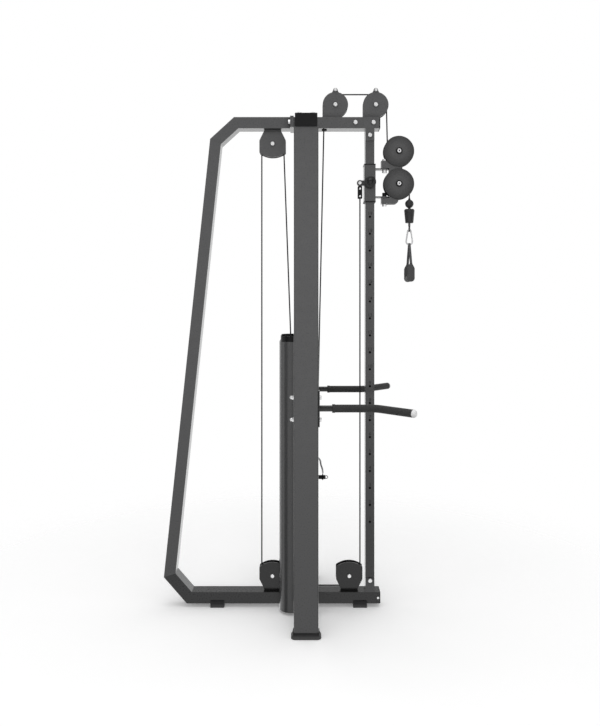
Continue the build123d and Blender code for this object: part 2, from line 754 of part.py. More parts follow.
def cable_grommets():
    """Plastic eyes that guide the cable through the front beam."""
    x = TOP_INNER[0] - CABLE_BEND
    lower = bar_z(GROMMET_FLANGE, x, 0, (BEAM_BOTTOM - GROMMET_LIP, BEAM_BOTTOM))
    lower += bar_z(GROMMET_BODY, x, 0, (BEAM_BOTTOM, BEAM_BOTTOM + TUBE_WALL))
    upper = bar_z(GROMMET_FLANGE, x, 0, (TOP_EDGE, TOP_EDGE + GROMMET_LIP))
    upper += bar_z(GROMMET_BODY, x, 0, (TOP_EDGE - TUBE_WALL, TOP_EDGE))
    bore = bar_z(GROMMET_BORE, x, 0, (BEAM_BOTTOM - 10, TOP_EDGE + 10))
    return [lower - bore, upper - bore]


# --------------------------------------------------------------------- cable

def on_pulley(centre, degrees):
    """Point of the cable's middle line on a pulley, from +X towards +Z."""
    angle = math.radians(degrees)
    x = centre[0] + CABLE_BEND * math.cos(angle)
    return Vector(x, 0, centre[1] + CABLE_BEND * math.sin(angle))


def wrap(centre, start, end):
    """Arc of cable round a pulley between two angles."""
    middle = on_pulley(centre, (start + end) / 2)
    return ThreePointArc(on_pulley(centre, start), middle, on_pulley(centre, end))


def crossing_lean(low, high):
    """Lean, in degrees, of a cable that crosses between two equal pulleys."""
    across, up = abs(high[0] - low[0]), high[1] - low[1]
    crossing = math.asin(2 * CABLE_BEND / math.hypot(across, up))
    return math.degrees(math.atan2(across, up) - crossing)


FRONT_LEAN = crossing_lean(STACK_PULLEY, TOP_INNER)
REAR_LEAN = crossing_lean(STACK_PULLEY, REAR_TOP)
SWIVEL_UPPER = (SWIVEL_X, SWIVEL_UPPER_Z)
SWIVEL_LOWER = (SWIVEL_X, SWIVEL_LOWER_Z)
UPRIGHT_LEAN = crossing_lean(SWIVEL_UPPER, TOP_FRONT)
SWIVEL_CROSSING = math.degrees(
    math.acos(2 * CABLE_BEND / (SWIVEL_UPPER_Z - SWIVEL_LOWER_Z))
)


def cable_along(*edges):
    path = Wire(list(edges))
    section = Plane(origin=path @ 0, z_dir=path % 0) * Circle(CABLE_RADIUS)
    return sweep(section, path)


def cable_top_run():
    return cable_along(
        wrap(TOP_FRONT, UPRIGHT_LEAN, 90),
        Line(on_pulley(TOP_FRONT, 90), on_pulley(TOP_INNER, 90)),
        wrap(TOP_INNER, 90, 180 - FRONT_LEAN),
    )


def cable_rear_run():
    return cable_along(
        wrap(REAR_TOP, REAR_LEAN, 180),
        Line(on_pulley(REAR_TOP, 180), on_pulley(REAR_BOTTOM, 180)),
        wrap(REAR_BOTTOM, 180, 270),
        Line(on_pulley(REAR_BOTTOM, 270), on_pulley(FRONT_BOTTOM, 270)),
        wrap(FRONT_BOTTOM, 270, 360),
    )


def cable_upright_span():
    top = on_pulley(TOP_FRONT, UPRIGHT_LEAN)
    return cable_along(Line(on_pulley(SWIVEL_UPPER, 180 + UPRIGHT_LEAN), top))


def cable_stack_front_span():
    top = on_pulley(TOP_INNER, 180 - FRONT_LEAN)
    return cable_along(Line(on_pulley(STACK_PULLEY, -FRONT_LEAN), top))


def cable_stack_rear_span():
    top = on_pulley(REAR_TOP, REAR_LEAN)
    return cable_along(Line(on_pulley(STACK_PULLEY, 180 + REAR_LEAN), top))


def cable_stack_wrap():
    return cable_along(wrap(STACK_PULLEY, -FRONT_LEAN, REAR_LEAN - 180))


def cable_lug_span():
    top = Vector(CABLE_DOWN_X, 0, HOLE_TOP - LINK_BOTTOM_DROP)
    return cable_along(Line(on_pulley(FRONT_BOTTOM, 0), top))


def cable_swivel_wrap():
    leave = 270 - SWIVEL_CROSSING
    enter = 90 - SWIVEL_CROSSING
    return cable_along(
        wrap(SWIVEL_UPPER, 180 + UPRIGHT_LEAN, leave),
        Line(on_pulley(SWIVEL_UPPER, leave), on_pulley(SWIVEL_LOWER, enter)),
        wrap(SWIVEL_LOWER, enter, 0),
    )


def cable_handle_drop():
    bottom = Vector(PULL_X, 0, BALL_Z + BALL_RADIUS + BALL_NECK)
    return cable_along(Line(on_pulley(SWIVEL_LOWER, 0), bottom))


# ------------------------------------------------------------------ carriage

def swing_arm(z):
    """Flat arm from the sleeve's front to the swivel's pivot."""
    x = UPRIGHT_X + SLEEVE_DEPTH / 2
    arm = block((x, PIVOT_X), (-ARM_HALF_WIDTH, ARM_HALF_WIDTH), (z, z + ARM_THICKNESS))
    arm += bar_z(ARM_HALF_WIDTH, PIVOT_X, 0, (z, z + ARM_THICKNESS))
    return arm - bar_z(PIVOT_BOLT, PIVOT_X, 0, (z - 1, z + ARM_THICKNESS + 1))


def carriage_sleeve():
    """Sliding tube with its swing arms, cable lug and pin boss welded on."""
    half_x, half_y = SLEEVE_DEPTH / 2, SLEEVE_WIDTH / 2
    x, y = (UPRIGHT_X - half_x, UPRIGHT_X + half_x), (-half_y, half_y)
    sleeve = straight_tube(x, y, (SLEEVE_BOTTOM, SLEEVE_TOP), SLEEVE_WALL, "Z")
    sleeve += swing_arm(ARM_UPPER_Z) + swing_arm(ARM_LOWER_Z)
    half_lug = LUG_THICKNESS / 2
    lug_z = HOLE_TOP + LUG_RISE
    ring = bar_y(LUG_RADIUS, CABLE_DOWN_X, (-half_lug, half_lug), lug_z)
    arm_z = (lug_z - LUG_ARM_HALF, lug_z + LUG_ARM_HALF)
    tab = block((CABLE_DOWN_X, x[0]), (-half_lug, half_lug), arm_z)
    tail_bottom = HOLE_TOP - LINK_BOLT_DROPS[0] - 8
    tail_x = (CABLE_DOWN_X - 8, CABLE_DOWN_X + 8)
    tail = block(tail_x, (-half_lug, half_lug), (tail_bottom, HOLE_TOP))
    sleeve += ring + tab + tail
    sleeve -= bar_y(LUG_BOLT, CABLE_DOWN_X, (-20, 20), lug_z)
    sleeve -= bar_y(LUG_BOLT, CABLE_DOWN_X, (-20, 20), HOLE_TOP - LINK_BOLT_DROPS[0])
    boss = bar_y(BOSS_RADIUS, UPRIGHT_X, (-half_y - BOSS_LENGTH, -half_y), HOLE_TOP)
    boss = chamfer(boss.faces().sort_by(Axis.Y)[0].edges(), 2)
    bore = (-half_y - BOSS_LENGTH - 1, SLEEVE_WALL + 1 - half_y)
    return sleeve + boss - bar_y(PIN_RADIUS + PIN_GAP, UPRIGHT_X, bore, HOLE_TOP)


def carriage_bushing(flange_z, inward):
    """Plastic liner at one end of the sleeve, with a flange outside it."""
    half_x, half_y = SLEEVE_DEPTH / 2, SLEEVE_WIDTH / 2
    z = sorted((flange_z, flange_z - inward * BUSH_FLANGE))
    rim = block(
        (UPRIGHT_X - half_x - BUSH_PROUD, UPRIGHT_X + half_x + BUSH_PROUD),
        (-half_y - BUSH_PROUD, half_y + BUSH_PROUD),
        z,
    )
    rim = fillet(rim.edges().filter_by(Axis.Z), 3)
    wall = SLEEVE_WALL
    liner = block(
        (UPRIGHT_X - half_x + wall, UPRIGHT_X + half_x - wall),
        (wall - half_y, half_y - wall),
        sorted((flange_z, flange_z + inward * BUSH_SLEEVE)),
    )
    x, y = upright_limits(SLIDE_GAP)
    return rim + liner - block(x, y, (flange_z - 60, flange_z + 60))


def pivot_cap():
    """Plastic cap pressed over the upper end of the lower pivot bolt."""
    arm_top = ARM_LOWER_Z + ARM_THICKNESS
    cap = bar_z(PIVOT_CAP_RADIUS, PIVOT_X, 0, (arm_top, arm_top + PIVOT_CAP_HEIGHT))
    cap = fillet(cap.faces().sort_by(Axis.Z)[-1].edges(), 2)
    return cap - bar_z(PIVOT_BOLT, PIVOT_X, 0, (arm_top - 1, arm_top + PIVOT_STUD))


def carriage_bushings():
    """The sleeve's two liners, and the plastic cap on the lower pivot bolt."""
    return [carriage_bushing(SLEEVE_BOTTOM, 1), carriage_bushing(SLEEVE_TOP, -1), pivot_cap()]


def cable_link():
    """Two link plates with the clamp block that ends the cable."""
    inner = LUG_THICKNESS / 2 + LINK_GAP
    half = LINK_WIDTH / 2
    z = (HOLE_TOP - LINK_BOTTOM_DROP, HOLE_TOP - LINK_TOP_DROP)
    x = (CABLE_DOWN_X - half, CABLE_DOWN_X + half)
    plate = block(x, (inner, inner + LINK_PLATE), z)
    plate = fillet(plate.edges().filter_by(Axis.Y), 4)
    for drop in LINK_BOLT_DROPS:
        plate -= bar_y(LUG_BOLT, CABLE_DOWN_X, (-20, 20), HOLE_TOP - drop)
    clamp_z = (HOLE_TOP - LINK_BOTTOM_DROP, HOLE_TOP - LINK_BOLT_DROPS[1] + 9)
    clamp = block((x[0] + 3, x[1] - 3), (-inner, inner), clamp_z)
    clamp -= bar_y(LUG_BOLT, CABLE_DOWN_X, (-20, 20), HOLE_TOP - LINK_BOLT_DROPS[1])
    return both_sides(plate) + [clamp]


def carriage_bolts():
    """Lug and link bolts, and the two bolts that the swivel turns on."""
    bolts = []
    outer = LUG_THICKNESS / 2 + LINK_GAP + LINK_PLATE
    places = [(-LUG_RISE, LUG_THICKNESS / 2, LUG_HEAD)]
    places += [(drop, outer, LINK_HEAD) for drop in LINK_BOLT_DROPS]
    for drop, reach, head in places:
        z = HOLE_TOP - drop
        shank = bar_y(LUG_BOLT, CABLE_DOWN_X, (-reach, reach), z)
        cap = round_head(head, CABLE_DOWN_X, -reach, z, -1)
        bolts.append(shank + cap + hex_bar_y(CABLE_DOWN_X, (reach, reach + 6), z, head))
    return bolts + pivot_bolts()


def pivot_bolts():
    upper = bar_z(PIVOT_BOLT, PIVOT_X, 0, (ARM_UPPER_Z - 2, SWIVEL_ARM_TOP + PIVOT_GAP))
    upper += hex_bar_z(PIVOT_X, 0, (SWIVEL_ARM_TOP + PIVOT_GAP, SWIVEL_ARM_TOP + 9))
    upper += hex_bar_z(PIVOT_X, 0, (ARM_UPPER_Z - 13, ARM_UPPER_Z))
    arm_top = ARM_LOWER_Z + ARM_THICKNESS
    lower = bar_z(PIVOT_BOLT, PIVOT_X, 0, (SWIVEL_ARM_BOTTOM - PIVOT_GAP, arm_top + PIVOT_STUD))
    lower += hex_bar_z(PIVOT_X, 0, (SWIVEL_ARM_BOTTOM - 10, SWIVEL_ARM_BOTTOM - PIVOT_GAP))
    return [upper, lower]


def pop_pin():
    """Spring plunger, drawn backed off just clear of the upright."""
    tip = -UPRIGHT_WIDTH / 2 - PIN_BACKED_OFF
    face = -SLEEVE_WIDTH / 2 - BOSS_LENGTH
    neck_end = face - KNOB_STAND_OFF - PIN_TRAVEL
    centre = neck_end - KNOB_SKIRT
    shaft = bar_y(PIN_RADIUS, UPRIGHT_X, (centre, tip), HOLE_TOP)
    shaft = chamfer(shaft.faces().sort_by(Axis.Y)[-1].edges(), 1.2)
    neck = bar_y(KNOB_NECK, UPRIGHT_X, (centre, neck_end + 2), HOLE_TOP)
    skirt = bar_y(KNOB_RADIUS, UPRIGHT_X, (centre, neck_end), HOLE_TOP)
    skirt = fillet(skirt.edges().filter_by(GeomType.CIRCLE), KNOB_SKIRT / 3)
    dome = Pos(UPRIGHT_X, centre, HOLE_TOP) * Rot(90, 0, 0) * Sphere(KNOB_DOME, arc_size1=0)
    return shaft + neck + skirt + dome


# -------------------------------------------------------------------- swivel

def swivel_plate_face():
    """Outline of a swivel side plate: two arms at the back, a spine in front."""
    arm_low = ARM_UPPER_Z + ARM_THICKNESS + PIVOT_GAP
    toe_top = ARM_LOWER_Z - PIVOT_GAP
    toe_x = SWIVEL_TOE_X + SWIVEL_TOE_RADIUS
    toe_z = SWIVEL_ARM_BOTTOM + SWIVEL_TOE_RADIUS
    crown_z = SWIVEL_UPPER_Z + 20
    toe = math.sqrt(0.5) * SWIVEL_TOE_RADIUS
    edges = [
        Polyline(
            (SWIVEL_TOE_X, SWIVEL_ARM_BOTTOM), (SWIVEL_BACK_X, SWIVEL_ARM_BOTTOM),
            (SWIVEL_BACK_X, toe_top), (SWIVEL_SPINE_X, toe_top), (SWIVEL_SPINE_X, arm_low),
            (SWIVEL_BACK_X, arm_low), (SWIVEL_BACK_X, SWIVEL_ARM_TOP),
            (SWIVEL_SPINE_X + 6, SWIVEL_ARM_TOP), (SWIVEL_X - 18, crown_z),
            (SWIVEL_SPINE_FRONT_X, crown_z), (SWIVEL_SPINE_FRONT_X, SWIVEL_LOWER_Z - 32),
            (toe_x, toe_z),
        ),
        ThreePointArc(
            (toe_x, toe_z), (SWIVEL_TOE_X + toe, toe_z - toe), (SWIVEL_TOE_X, SWIVEL_ARM_BOTTOM)
        ),
    ]
    face = make_face(edges)
    for z in (SWIVEL_UPPER_Z, SWIVEL_LOWER_Z):
        face -= Pos(SWIVEL_X, z) * Circle(AXLE_RADIUS)
    return face


def swivel_bracket():
    """Two side plates joined by the barrels that turn on the pivot bolts."""
    plates = both_sides(side_plate(swivel_plate_face(), (PLATE_GAP, PLATE_OUT)))
    upper = (ARM_UPPER_Z + ARM_THICKNESS + PIVOT_GAP, SWIVEL_ARM_TOP)
    lower = (SWIVEL_ARM_BOTTOM, ARM_LOWER_Z - PIVOT_GAP)
    block_x = (SWIVEL_BACK_X, PIVOT_X + PIVOT_BOLT + 4)
    body = plates[0] + plates[1]
    for z in (upper, lower):
        body += block(block_x, (-PLATE_GAP, PLATE_GAP), z)
        body -= bar_z(PIVOT_BOLT + RUNNING_GAP, PIVOT_X, 0, (z[0] - 1, z[1] + 1))
    return body


def swivel_cover(z):
    """Low domed disc over one side of a swivel pulley, on the +Y side."""
    start, full = PLATE_OUT, PLATE_OUT + COVER_THICKNESS
    edge = PLATE_OUT + COVER_EDGE
    hub = full + COVER_HUB_HEIGHT
    rim_x = COVER_RADIUS
    profile = make_face(
        [
            Polyline(
                (AXLE_RADIUS, full), (AXLE_RADIUS, start), (rim_x, start), (rim_x, edge),
            ),
            ThreePointArc(
                (rim_x, edge), ((rim_x + COVER_HUB) / 2 + 6, full - 1.6), (COVER_HUB, full)
            ),
            Polyline((COVER_HUB, full), (COVER_HUB - 1, hub), (AXLE_HEAD + 1, hub),
                     (AXLE_HEAD + 1, full), (AXLE_RADIUS, full)),
        ]
    )
    return Pos(SWIVEL_X, 0, z) * revolve(profile, Axis.Y)


def swivel_covers():
    return both_sides(swivel_cover(SWIVEL_UPPER_Z)) + both_sides(swivel_cover(SWIVEL_LOWER_Z))


def swivel_axles():
    reach = PLATE_OUT + COVER_THICKNESS
    return spaced_axle(SWIVEL_UPPER, reach) + spaced_axle(SWIVEL_LOWER, reach)


# ------------------------------------------------------------------ pull end

def cable_stop():
    """Stop ball with its necks, and the rubber cone under it."""
    join = math.sqrt(BALL_RADIUS**2 - BALL_NECK**2)
    top = BALL_RADIUS + BALL_NECK
    middle = CONE_TOP_Z - BALL_Z
    ball = make_face(
        [
            Polyline((0, middle), (BALL_NECK, middle), (BALL_NECK, -join)),
            ThreePointArc((BALL_NECK, -join), (BALL_RADIUS, 0), (BALL_NECK, join)),
            Polyline((BALL_NECK, join), (CABLE_RADIUS + 1, top), (0, top), (0, middle)),
        ]
    )
    cone = [
        (0, CONE_BOTTOM_Z), (CONE_BOTTOM_RADIUS - 1.5, CONE_BOTTOM_Z),
        (CONE_BOTTOM_RADIUS, CONE_BOTTOM_Z + 1.5), (CONE_TOP_RADIUS, CONE_TOP_Z - 5),
        (CONE_TOP_RADIUS - 4, CONE_TOP_Z), (0, CONE_TOP_Z),
    ]
    turned_ball = revolve(Plane.XZ * ball, Axis.Z)
    turned_cone = revolve(Plane.XZ * make_face(Polyline(*cone, close=True)), Axis.Z)
    return [Pos(PULL_X, 0, BALL_Z) * turned_ball, Pos(PULL_X, 0, 0) * turned_cone]


def swivel_eye():
    """Turning eye under the cone: a shank and a ring across the hook."""
    ring = Pos(PULL_X, 0, EYE_Z) * Rot(0, 90, 0) * Torus(EYE_RING, EYE_WIRE)
    shank_bottom = EYE_Z + EYE_RING
    shank = bar_z(EYE_SHANK, PULL_X, 0, (shank_bottom, CONE_BOTTOM_Z - 0.3))
    return ring + shank


def hook_side(sign):
    """Points where one straight side of the hook meets its two bends."""
    rise = HOOK_TOP_Z - HOOK_BOTTOM_Z
    lean = math.asin((HOOK_BOTTOM_BEND - HOOK_TOP_BEND) / rise)
    out, up = math.cos(lean), math.sin(lean)
    low = Vector(PULL_X + sign * HOOK_BOTTOM_BEND * out, 0, HOOK_BOTTOM_Z + HOOK_BOTTOM_BEND * up)
    high = Vector(PULL_X + sign * HOOK_TOP_BEND * out, 0, HOOK_TOP_Z + HOOK_TOP_BEND * up)
    return low, high


def gate_ends():
    low, high = hook_side(1)
    return low + (high - low) * GATE_START, low + (high - low) * GATE_END


def carabiner():
    """Pear-shaped snap hook without its gate."""
    low_left, high_left = hook_side(-1)
    low_right, high_right = hook_side(1)
    low_gap, high_gap = gate_ends()
    top = Vector(PULL_X, 0, HOOK_TOP_Z + HOOK_TOP_BEND)
    bottom = Vector(PULL_X, 0, HOOK_LOWEST_Z)
    path = Wire(
        [
            Line(high_gap, high_right),
            ThreePointArc(high_right, top, high_left),
            Line(high_left, low_left),
            ThreePointArc(low_left, bottom, low_right),
            Line(low_right, low_gap),
        ]
    )
    section = Plane(origin=path @ 0, z_dir=path % 0) * Circle(HOOK_WIRE)
    return sweep(section, path)


def gate_pivot():
    """Middle of the ball on which the gate swings."""
    low, high = gate_ends()
    return low + (high - low).normalized() * (GATE_GAP + GATE_WIRE)


def carabiner_gate():
    """Straight gate with a ball at its hinged end."""
    low, high = gate_ends()
    pivot = gate_pivot()
    reach = (high - pivot).length - GATE_GAP
    ball = Pos(*pivot) * Sphere(GATE_WIRE)
    return ball + extrude(Plane(origin=pivot, z_dir=high - low) * Circle(GATE_WIRE), reach)


def strap_pad(side):
    """Wide end of the strap beside the grip, rounded below."""
    half = STRAP_PAD_WIDTH / 2
    neck = STRAP_LEG_WIDTH / 2
    bottom = STRAP_BOTTOM_Z + half
    face = make_face(
        [
            Polyline(
                (-half, bottom), (-half, STRAP_PAD_TOP_Z - STRAP_SHOULDER),
                (-neck, STRAP_PAD_TOP_Z), (neck, STRAP_PAD_TOP_Z),
                (half, STRAP_PAD_TOP_Z - STRAP_SHOULDER), (half, bottom),
            ),
            ThreePointArc((half, bottom), (0, STRAP_BOTTOM_Z), (-half, bottom)),
        ]
    )
    inner = STRAP_SPREAD - STRAP_THICKNESS / 2
    return side_plate(Pos(PULL_X, 0) * face, sorted((side * inner, side * (inner + STRAP_THICKNESS))))


def strap():
    """Webbing from the hook down both sides of the grip, and through it."""
    half = STRAP_LEG_WIDTH / 2
    bore = HOOK_WIRE + STRAP_EYE_GAP
    fold = HOOK_LOWEST_Z + bore + STRAP_THICKNESS
    low, thick = STRAP_SPREAD, STRAP_THICKNESS
    outline = [
        (-low - thick / 2, STRAP_PAD_TOP_Z), (-bore, HOOK_LOWEST_Z + bore), (-thick / 2, fold),
        (thick / 2, fold), (bore, HOOK_LOWEST_Z + bore), (low + thick / 2, STRAP_PAD_TOP_Z),
        (low - thick / 2, STRAP_PAD_TOP_Z), (0, HOOK_LOWEST_Z - bore - 2 * thick),
        (thick / 2 - low, STRAP_PAD_TOP_Z),
    ]
    face = Plane.YZ * make_face(Polyline(*outline, close=True))
    legs = Pos(PULL_X - half, 0, 0) * extrude(face, STRAP_LEG_WIDTH)
    eye = bar_x(bore, (PULL_X - 40, PULL_X + 40), 0, HOOK_LOWEST_Z)
    core = bar_y(GRIP_RADIUS / 2, PULL_X, (-STRAP_SPREAD, STRAP_SPREAD), GRIP_Z)
    return legs - eye + strap_pad(-1) + strap_pad(1) + core


def handle_grip():
    half = STRAP_SPREAD - STRAP_THICKNESS / 2 - GRIP_END_GAP
    grip = bar_y(GRIP_RADIUS, PULL_X, (-half, half), GRIP_Z)
    grip = fillet(grip.edges().filter_by(GeomType.CIRCLE), 3)
    return grip - bar_y(GRIP_RADIUS / 2 + GRIP_END_GAP, PULL_X, (-half - 1, half + 1), GRIP_Z)


# --------------------------------------------------------------------- stack

def bored_plate(z, thickness):
    """Weight plate with its rod, stem and selector holes."""
    half_x, half_y = PLATE_DEPTH / 2, PLATE_LENGTH / 2
    plate = block((-half_x, half_x), (-half_y, half_y), (z, z + thickness))
    plate = chamfer(plate.edges().filter_by(Axis.Z), 5)
    plate -= bar_z(STEM_RADIUS + STEM_HOLE_GAP, 0, 0, (z - 1, z + thickness + 1))
    for y in (-ROD_SPACING / 2, ROD_SPACING / 2):
        plate -= bar_z(ROD_RADIUS + ROD_HOLE_GAP, 0, y, (z - 1, z + thickness + 1))
    return plate - bar_x(
        SELECTOR_RADIUS + SELECTOR_GAP, (0, half_x + 1), 0, z + thickness / 2
    )


def weight_plates():
    plate = bored_plate(0, PLATE_PITCH - PLATE_SEAM)
    return [Pos(0, 0, STACK_BOTTOM_Z + n * PLATE_PITCH) * plate for n in range(PLATE_COUNT)]


def stack_head():
    """Head plate with its selector stem below and pulley yoke above."""
    head = bored_plate(STACK_TOP, HEAD_THICKNESS)
    stem = bar_z(STEM_RADIUS, 0, 0, (STACK_BOTTOM_Z + 5, HEAD_TOP))
    collar = bar_z(STEM_RADIUS + STEM_HOLE_GAP, 0, 0, (STACK_TOP, HEAD_TOP))
    stem += collar
    hole = SELECTOR_RADIUS + SELECTOR_GAP
    for n in range(PLATE_COUNT):
        z = STACK_BOTTOM_Z + n * PLATE_PITCH + (PLATE_PITCH - PLATE_SEAM) / 2
        stem -= bar_x(hole, (-STEM_RADIUS - 1, STEM_RADIUS + 1), 0, z)
    base_z = (HEAD_TOP, HEAD_TOP + YOKE_BASE)
    yoke = block((-YOKE_HALF_WIDTH, YOKE_HALF_WIDTH), (-PLATE_OUT, PLATE_OUT), base_z)
    centre = STACK_PULLEY[1]
    face = Pos(0, (centre + base_z[0]) / 2) * Rectangle(2 * YOKE_HALF_WIDTH, centre - base_z[0])
    face += Pos(0, centre) * Circle(YOKE_HALF_WIDTH)
    face -= Pos(0, centre) * Circle(AXLE_RADIUS)
    ears = both_sides(side_plate(face, (PLATE_GAP, PLATE_OUT)))
    body = head + stem + yoke + ears[0] + ears[1]
    return body - bar_x(hole, (-SELECTOR_REACH - 3, PLATE_DEPTH), 0, SELECTOR_Z)


def stack_axle():
    return spaced_axle(STACK_PULLEY)


def selector_pin():
    """Selector pin with its collar, its flanged knob and the knob's pull ring."""
    flange_radius, flange_width = SELECTOR_FLANGE
    ring_bend, ring_wire = SELECTOR_RING
    knob_start = SELECTOR_KNOB_X - SELECTOR_KNOB_LENGTH
    pin = bar_x(SELECTOR_RADIUS, (-SELECTOR_REACH, SELECTOR_KNOB_X - 4), 0, SELECTOR_Z)
    collar = bar_x(SELECTOR_COLLAR, (PLATE_DEPTH / 2 + SELECTOR_SEAT_GAP, knob_start), 0, SELECTOR_Z)
    knob = bar_x(SELECTOR_KNOB_RADIUS, (knob_start, SELECTOR_KNOB_X), 0, SELECTOR_Z)
    flange = bar_x(flange_radius, (knob_start, knob_start + flange_width), 0, SELECTOR_Z)
    turned = fillet((collar + knob + flange).edges().filter_by(GeomType.CIRCLE), 1.5)
    middle = SELECTOR_KNOB_X + ring_bend - ring_wire
    ring = Pos(middle, 0, SELECTOR_Z) * Rot(90, 0, 0) * Torus(ring_bend, ring_wire)
    return turned + pin + ring


def cord_path(points):
    """Straight runs joined by arcs as large as the runs beside them allow."""
    radii = []
    for before, corner, after in zip(points, points[1:], points[2:]):
        arriving = Vector(*corner) - Vector(*before)
        leaving = Vector(*after) - Vector(*corner)
        half_turn = math.radians(arriving.get_angle(leaving) / 2)
        shorter = min(arriving.length, leaving.length)
        radii.append(LANYARD_RUN * shorter / math.tan(half_turn))
    print("lanyard bend radii", [round(radius, 1) for radius in radii])
    return FilletPolyline(*points, radius=radii)


def pin_lanyard():
    """Outer shape of the curly lanyard from the yoke to the selector knob."""
    flange_radius, flange_width = SELECTOR_FLANGE
    end_x = SELECTOR_KNOB_X - SELECTOR_KNOB_LENGTH + flange_width / 2
    bottom = SELECTOR_Z + flange_radius
    side = -PLATE_GAP - LANYARD_RADIUS
    start_x = YOKE_HALF_WIDTH
    low_z = LANYARD_TOP_Z - LANYARD_SAG
    path = cord_path([
        (start_x, side, LANYARD_TOP_Z),
        (start_x + 18, side, LANYARD_TOP_Z),
        (LANYARD_X, side * 0.8, low_z),
        (LANYARD_X + 2, side / 2, low_z - 24),
        (end_x, 0, bottom + 20),
        (end_x, 0, bottom),
    ])
    section = Plane(origin=path @ 0, z_dir=path % 0) * Circle(LANYARD_RADIUS)
    return sweep(section, path)


def guide_rods():
    z = (TUBE_TOP - ROD_SEAT, CROSSBEAM_BOTTOM + ROD_SEAT)
    return both_sides(bar_z(ROD_RADIUS, 0, ROD_SPACING / 2, z))


def stack_bumpers():
    z = (TUBE_TOP, STACK_BOTTOM_Z)
    ring = bar_z(BUMPER_RADIUS, 0, ROD_SPACING / 2, z)
    ring = fillet(ring.edges().filter_by(GeomType.CIRCLE), 3)
    return both_sides(ring - bar_z(ROD_RADIUS, 0, ROD_SPACING / 2, (z[0] - 1, z[1] + 1)))


# -------------------------------------------------------------------- shroud

def shroud_band(inset_by, thickness):
    """U-shaped ring section, open to the front, seen from above."""
    back = SHROUD_BACK_X + inset_by
    half = SHROUD_HALF_WIDTH - inset_by
    corner = SHROUD_CORNER - inset_by

    def filled(shrink):
        depth = SHROUD_FRONT_X - back - shrink + SHROUD_CORNER
        sheet = Rectangle(depth, 2 * (half - shrink), align=(Align.MIN, Align.CENTER))
        sheet = Pos(back + shrink, 0) * sheet
        rear = sheet.vertices().sort_by(Axis.X)[:2]
        return fillet(rear, corner - shrink)

    beyond = Pos(SHROUD_FRONT_X, 0) * Rectangle(
        2 * SHROUD_CORNER, 3 * SHROUD_HALF_WIDTH, align=(Align.MIN, Align.CENTER)
    )
    return filled(0) - filled(thickness) - beyond


def stack_shroud():
    sheet = extrude(shroud_band(0, SHROUD_SHEET), SHROUD_TOP - SHROUD_BOTTOM)
    shroud = Pos(0, 0, SHROUD_BOTTOM) * sheet
    tunnel = REAR_BOTTOM[1] + SHIELD_CROWN + SHROUD_CLEARANCE
    half = HALF_TUBE + SHROUD_CLEARANCE
    shroud -= block((SHROUD_BACK_X - 5, 0), (-half, half), (0, tunnel))
    rail = RAIL_WIDTH / 2 + 2
    side = (-SHROUD_HALF_WIDTH - 5, SHROUD_HALF_WIDTH + 5)
    return shroud - block((-rail, rail), side, (0, TUBE_TOP + SHROUD_SEAT_GAP))


def shroud_trim():
    liner = extrude(shroud_band(SHROUD_SHEET, TRIM_STEP + TRIM_THICKNESS), TRIM_DEPTH)
    edging = extrude(shroud_band(SHROUD_SHEET + TRIM_STEP, TRIM_THICKNESS), TRIM_RISE)
    return Pos(0, 0, SHROUD_TOP - TRIM_DEPTH) * (liner + Pos(0, 0, TRIM_DEPTH) * edging)


# -------------------------------------------------------------- side handles

def handle_bolt_heights():
    half = HANDLE_BOLT_SPACING / 2
    return HANDLE_Z - half, HANDLE_Z + half


def handle_path(start_x):
    """Middle line of the left handle from start_x to its tip."""
    rise = HANDLE_TIP_X - HANDLE_BEND_X
    return FilletPolyline(
        (start_x, -POST_Y, HANDLE_Z),
        (HANDLE_BEND_X, -POST_Y, HANDLE_Z),
        (HANDLE_TIP_X, -POST_Y - rise, HANDLE_Z),
        radius=HANDLE_BEND,
    )


def swept_round(path, radius):
    return sweep(Plane(origin=path @ 0, z_dir=path % 0) * Circle(radius), path)


def left_handle():
    """Handle tube welded to its mounting plate."""
    face = POST_SIZE / 2
    half = POST_DEPTH / 2 - HANDLE_PLATE_MARGIN
    rise = HANDLE_PLATE_HEIGHT / 2
    plate = block(
        (face, face + HANDLE_PLATE), (-POST_Y - half, half - POST_Y), (HANDLE_Z - rise, HANDLE_Z + rise)
    )
    plate = fillet(plate.edges().filter_by(Axis.X), 8)
    for z in handle_bolt_heights():
        plate -= bar_x(HANDLE_BOLT, (face - 1, face + HANDLE_PLATE + 1), -POST_Y, z)
    return plate + swept_round(handle_path(face + HANDLE_PLATE), HANDLE_TUBE)


def left_grip():
    """Moulded sleeve grip with a raised collar at its inner end."""
    path = handle_path(GRIP_START_X)
    collar = bar_x(
        GRIP_COLLAR, (GRIP_START_X, GRIP_START_X + GRIP_COLLAR_LENGTH), -POST_Y, HANDLE_Z
    )
    collar = fillet(collar.edges().filter_by(GeomType.CIRCLE), 2)
    return swept_round(path, GRIP_SLEEVE) + collar - swept_round(path, HANDLE_TUBE)


def left_handle_plug():
    """Domed plug that closes the outer end of the handle."""
    path = handle_path(GRIP_START_X)
    tip = Plane(origin=path @ 1, z_dir=path % 1)
    plug = extrude(tip * Circle(GRIP_SLEEVE), PLUG_DOME)
    return fillet(plug.edges().filter_by(GeomType.CIRCLE).sort_by(Axis.X)[-1], PLUG_DOME - PLUG_EDGE)


def side_handles():
    return both_sides(left_handle())


def handle_grips():
    return both_sides(left_grip())


def handle_plugs():
    return both_sides(left_handle_plug())


# ----------------------------------------------------------------- fasteners

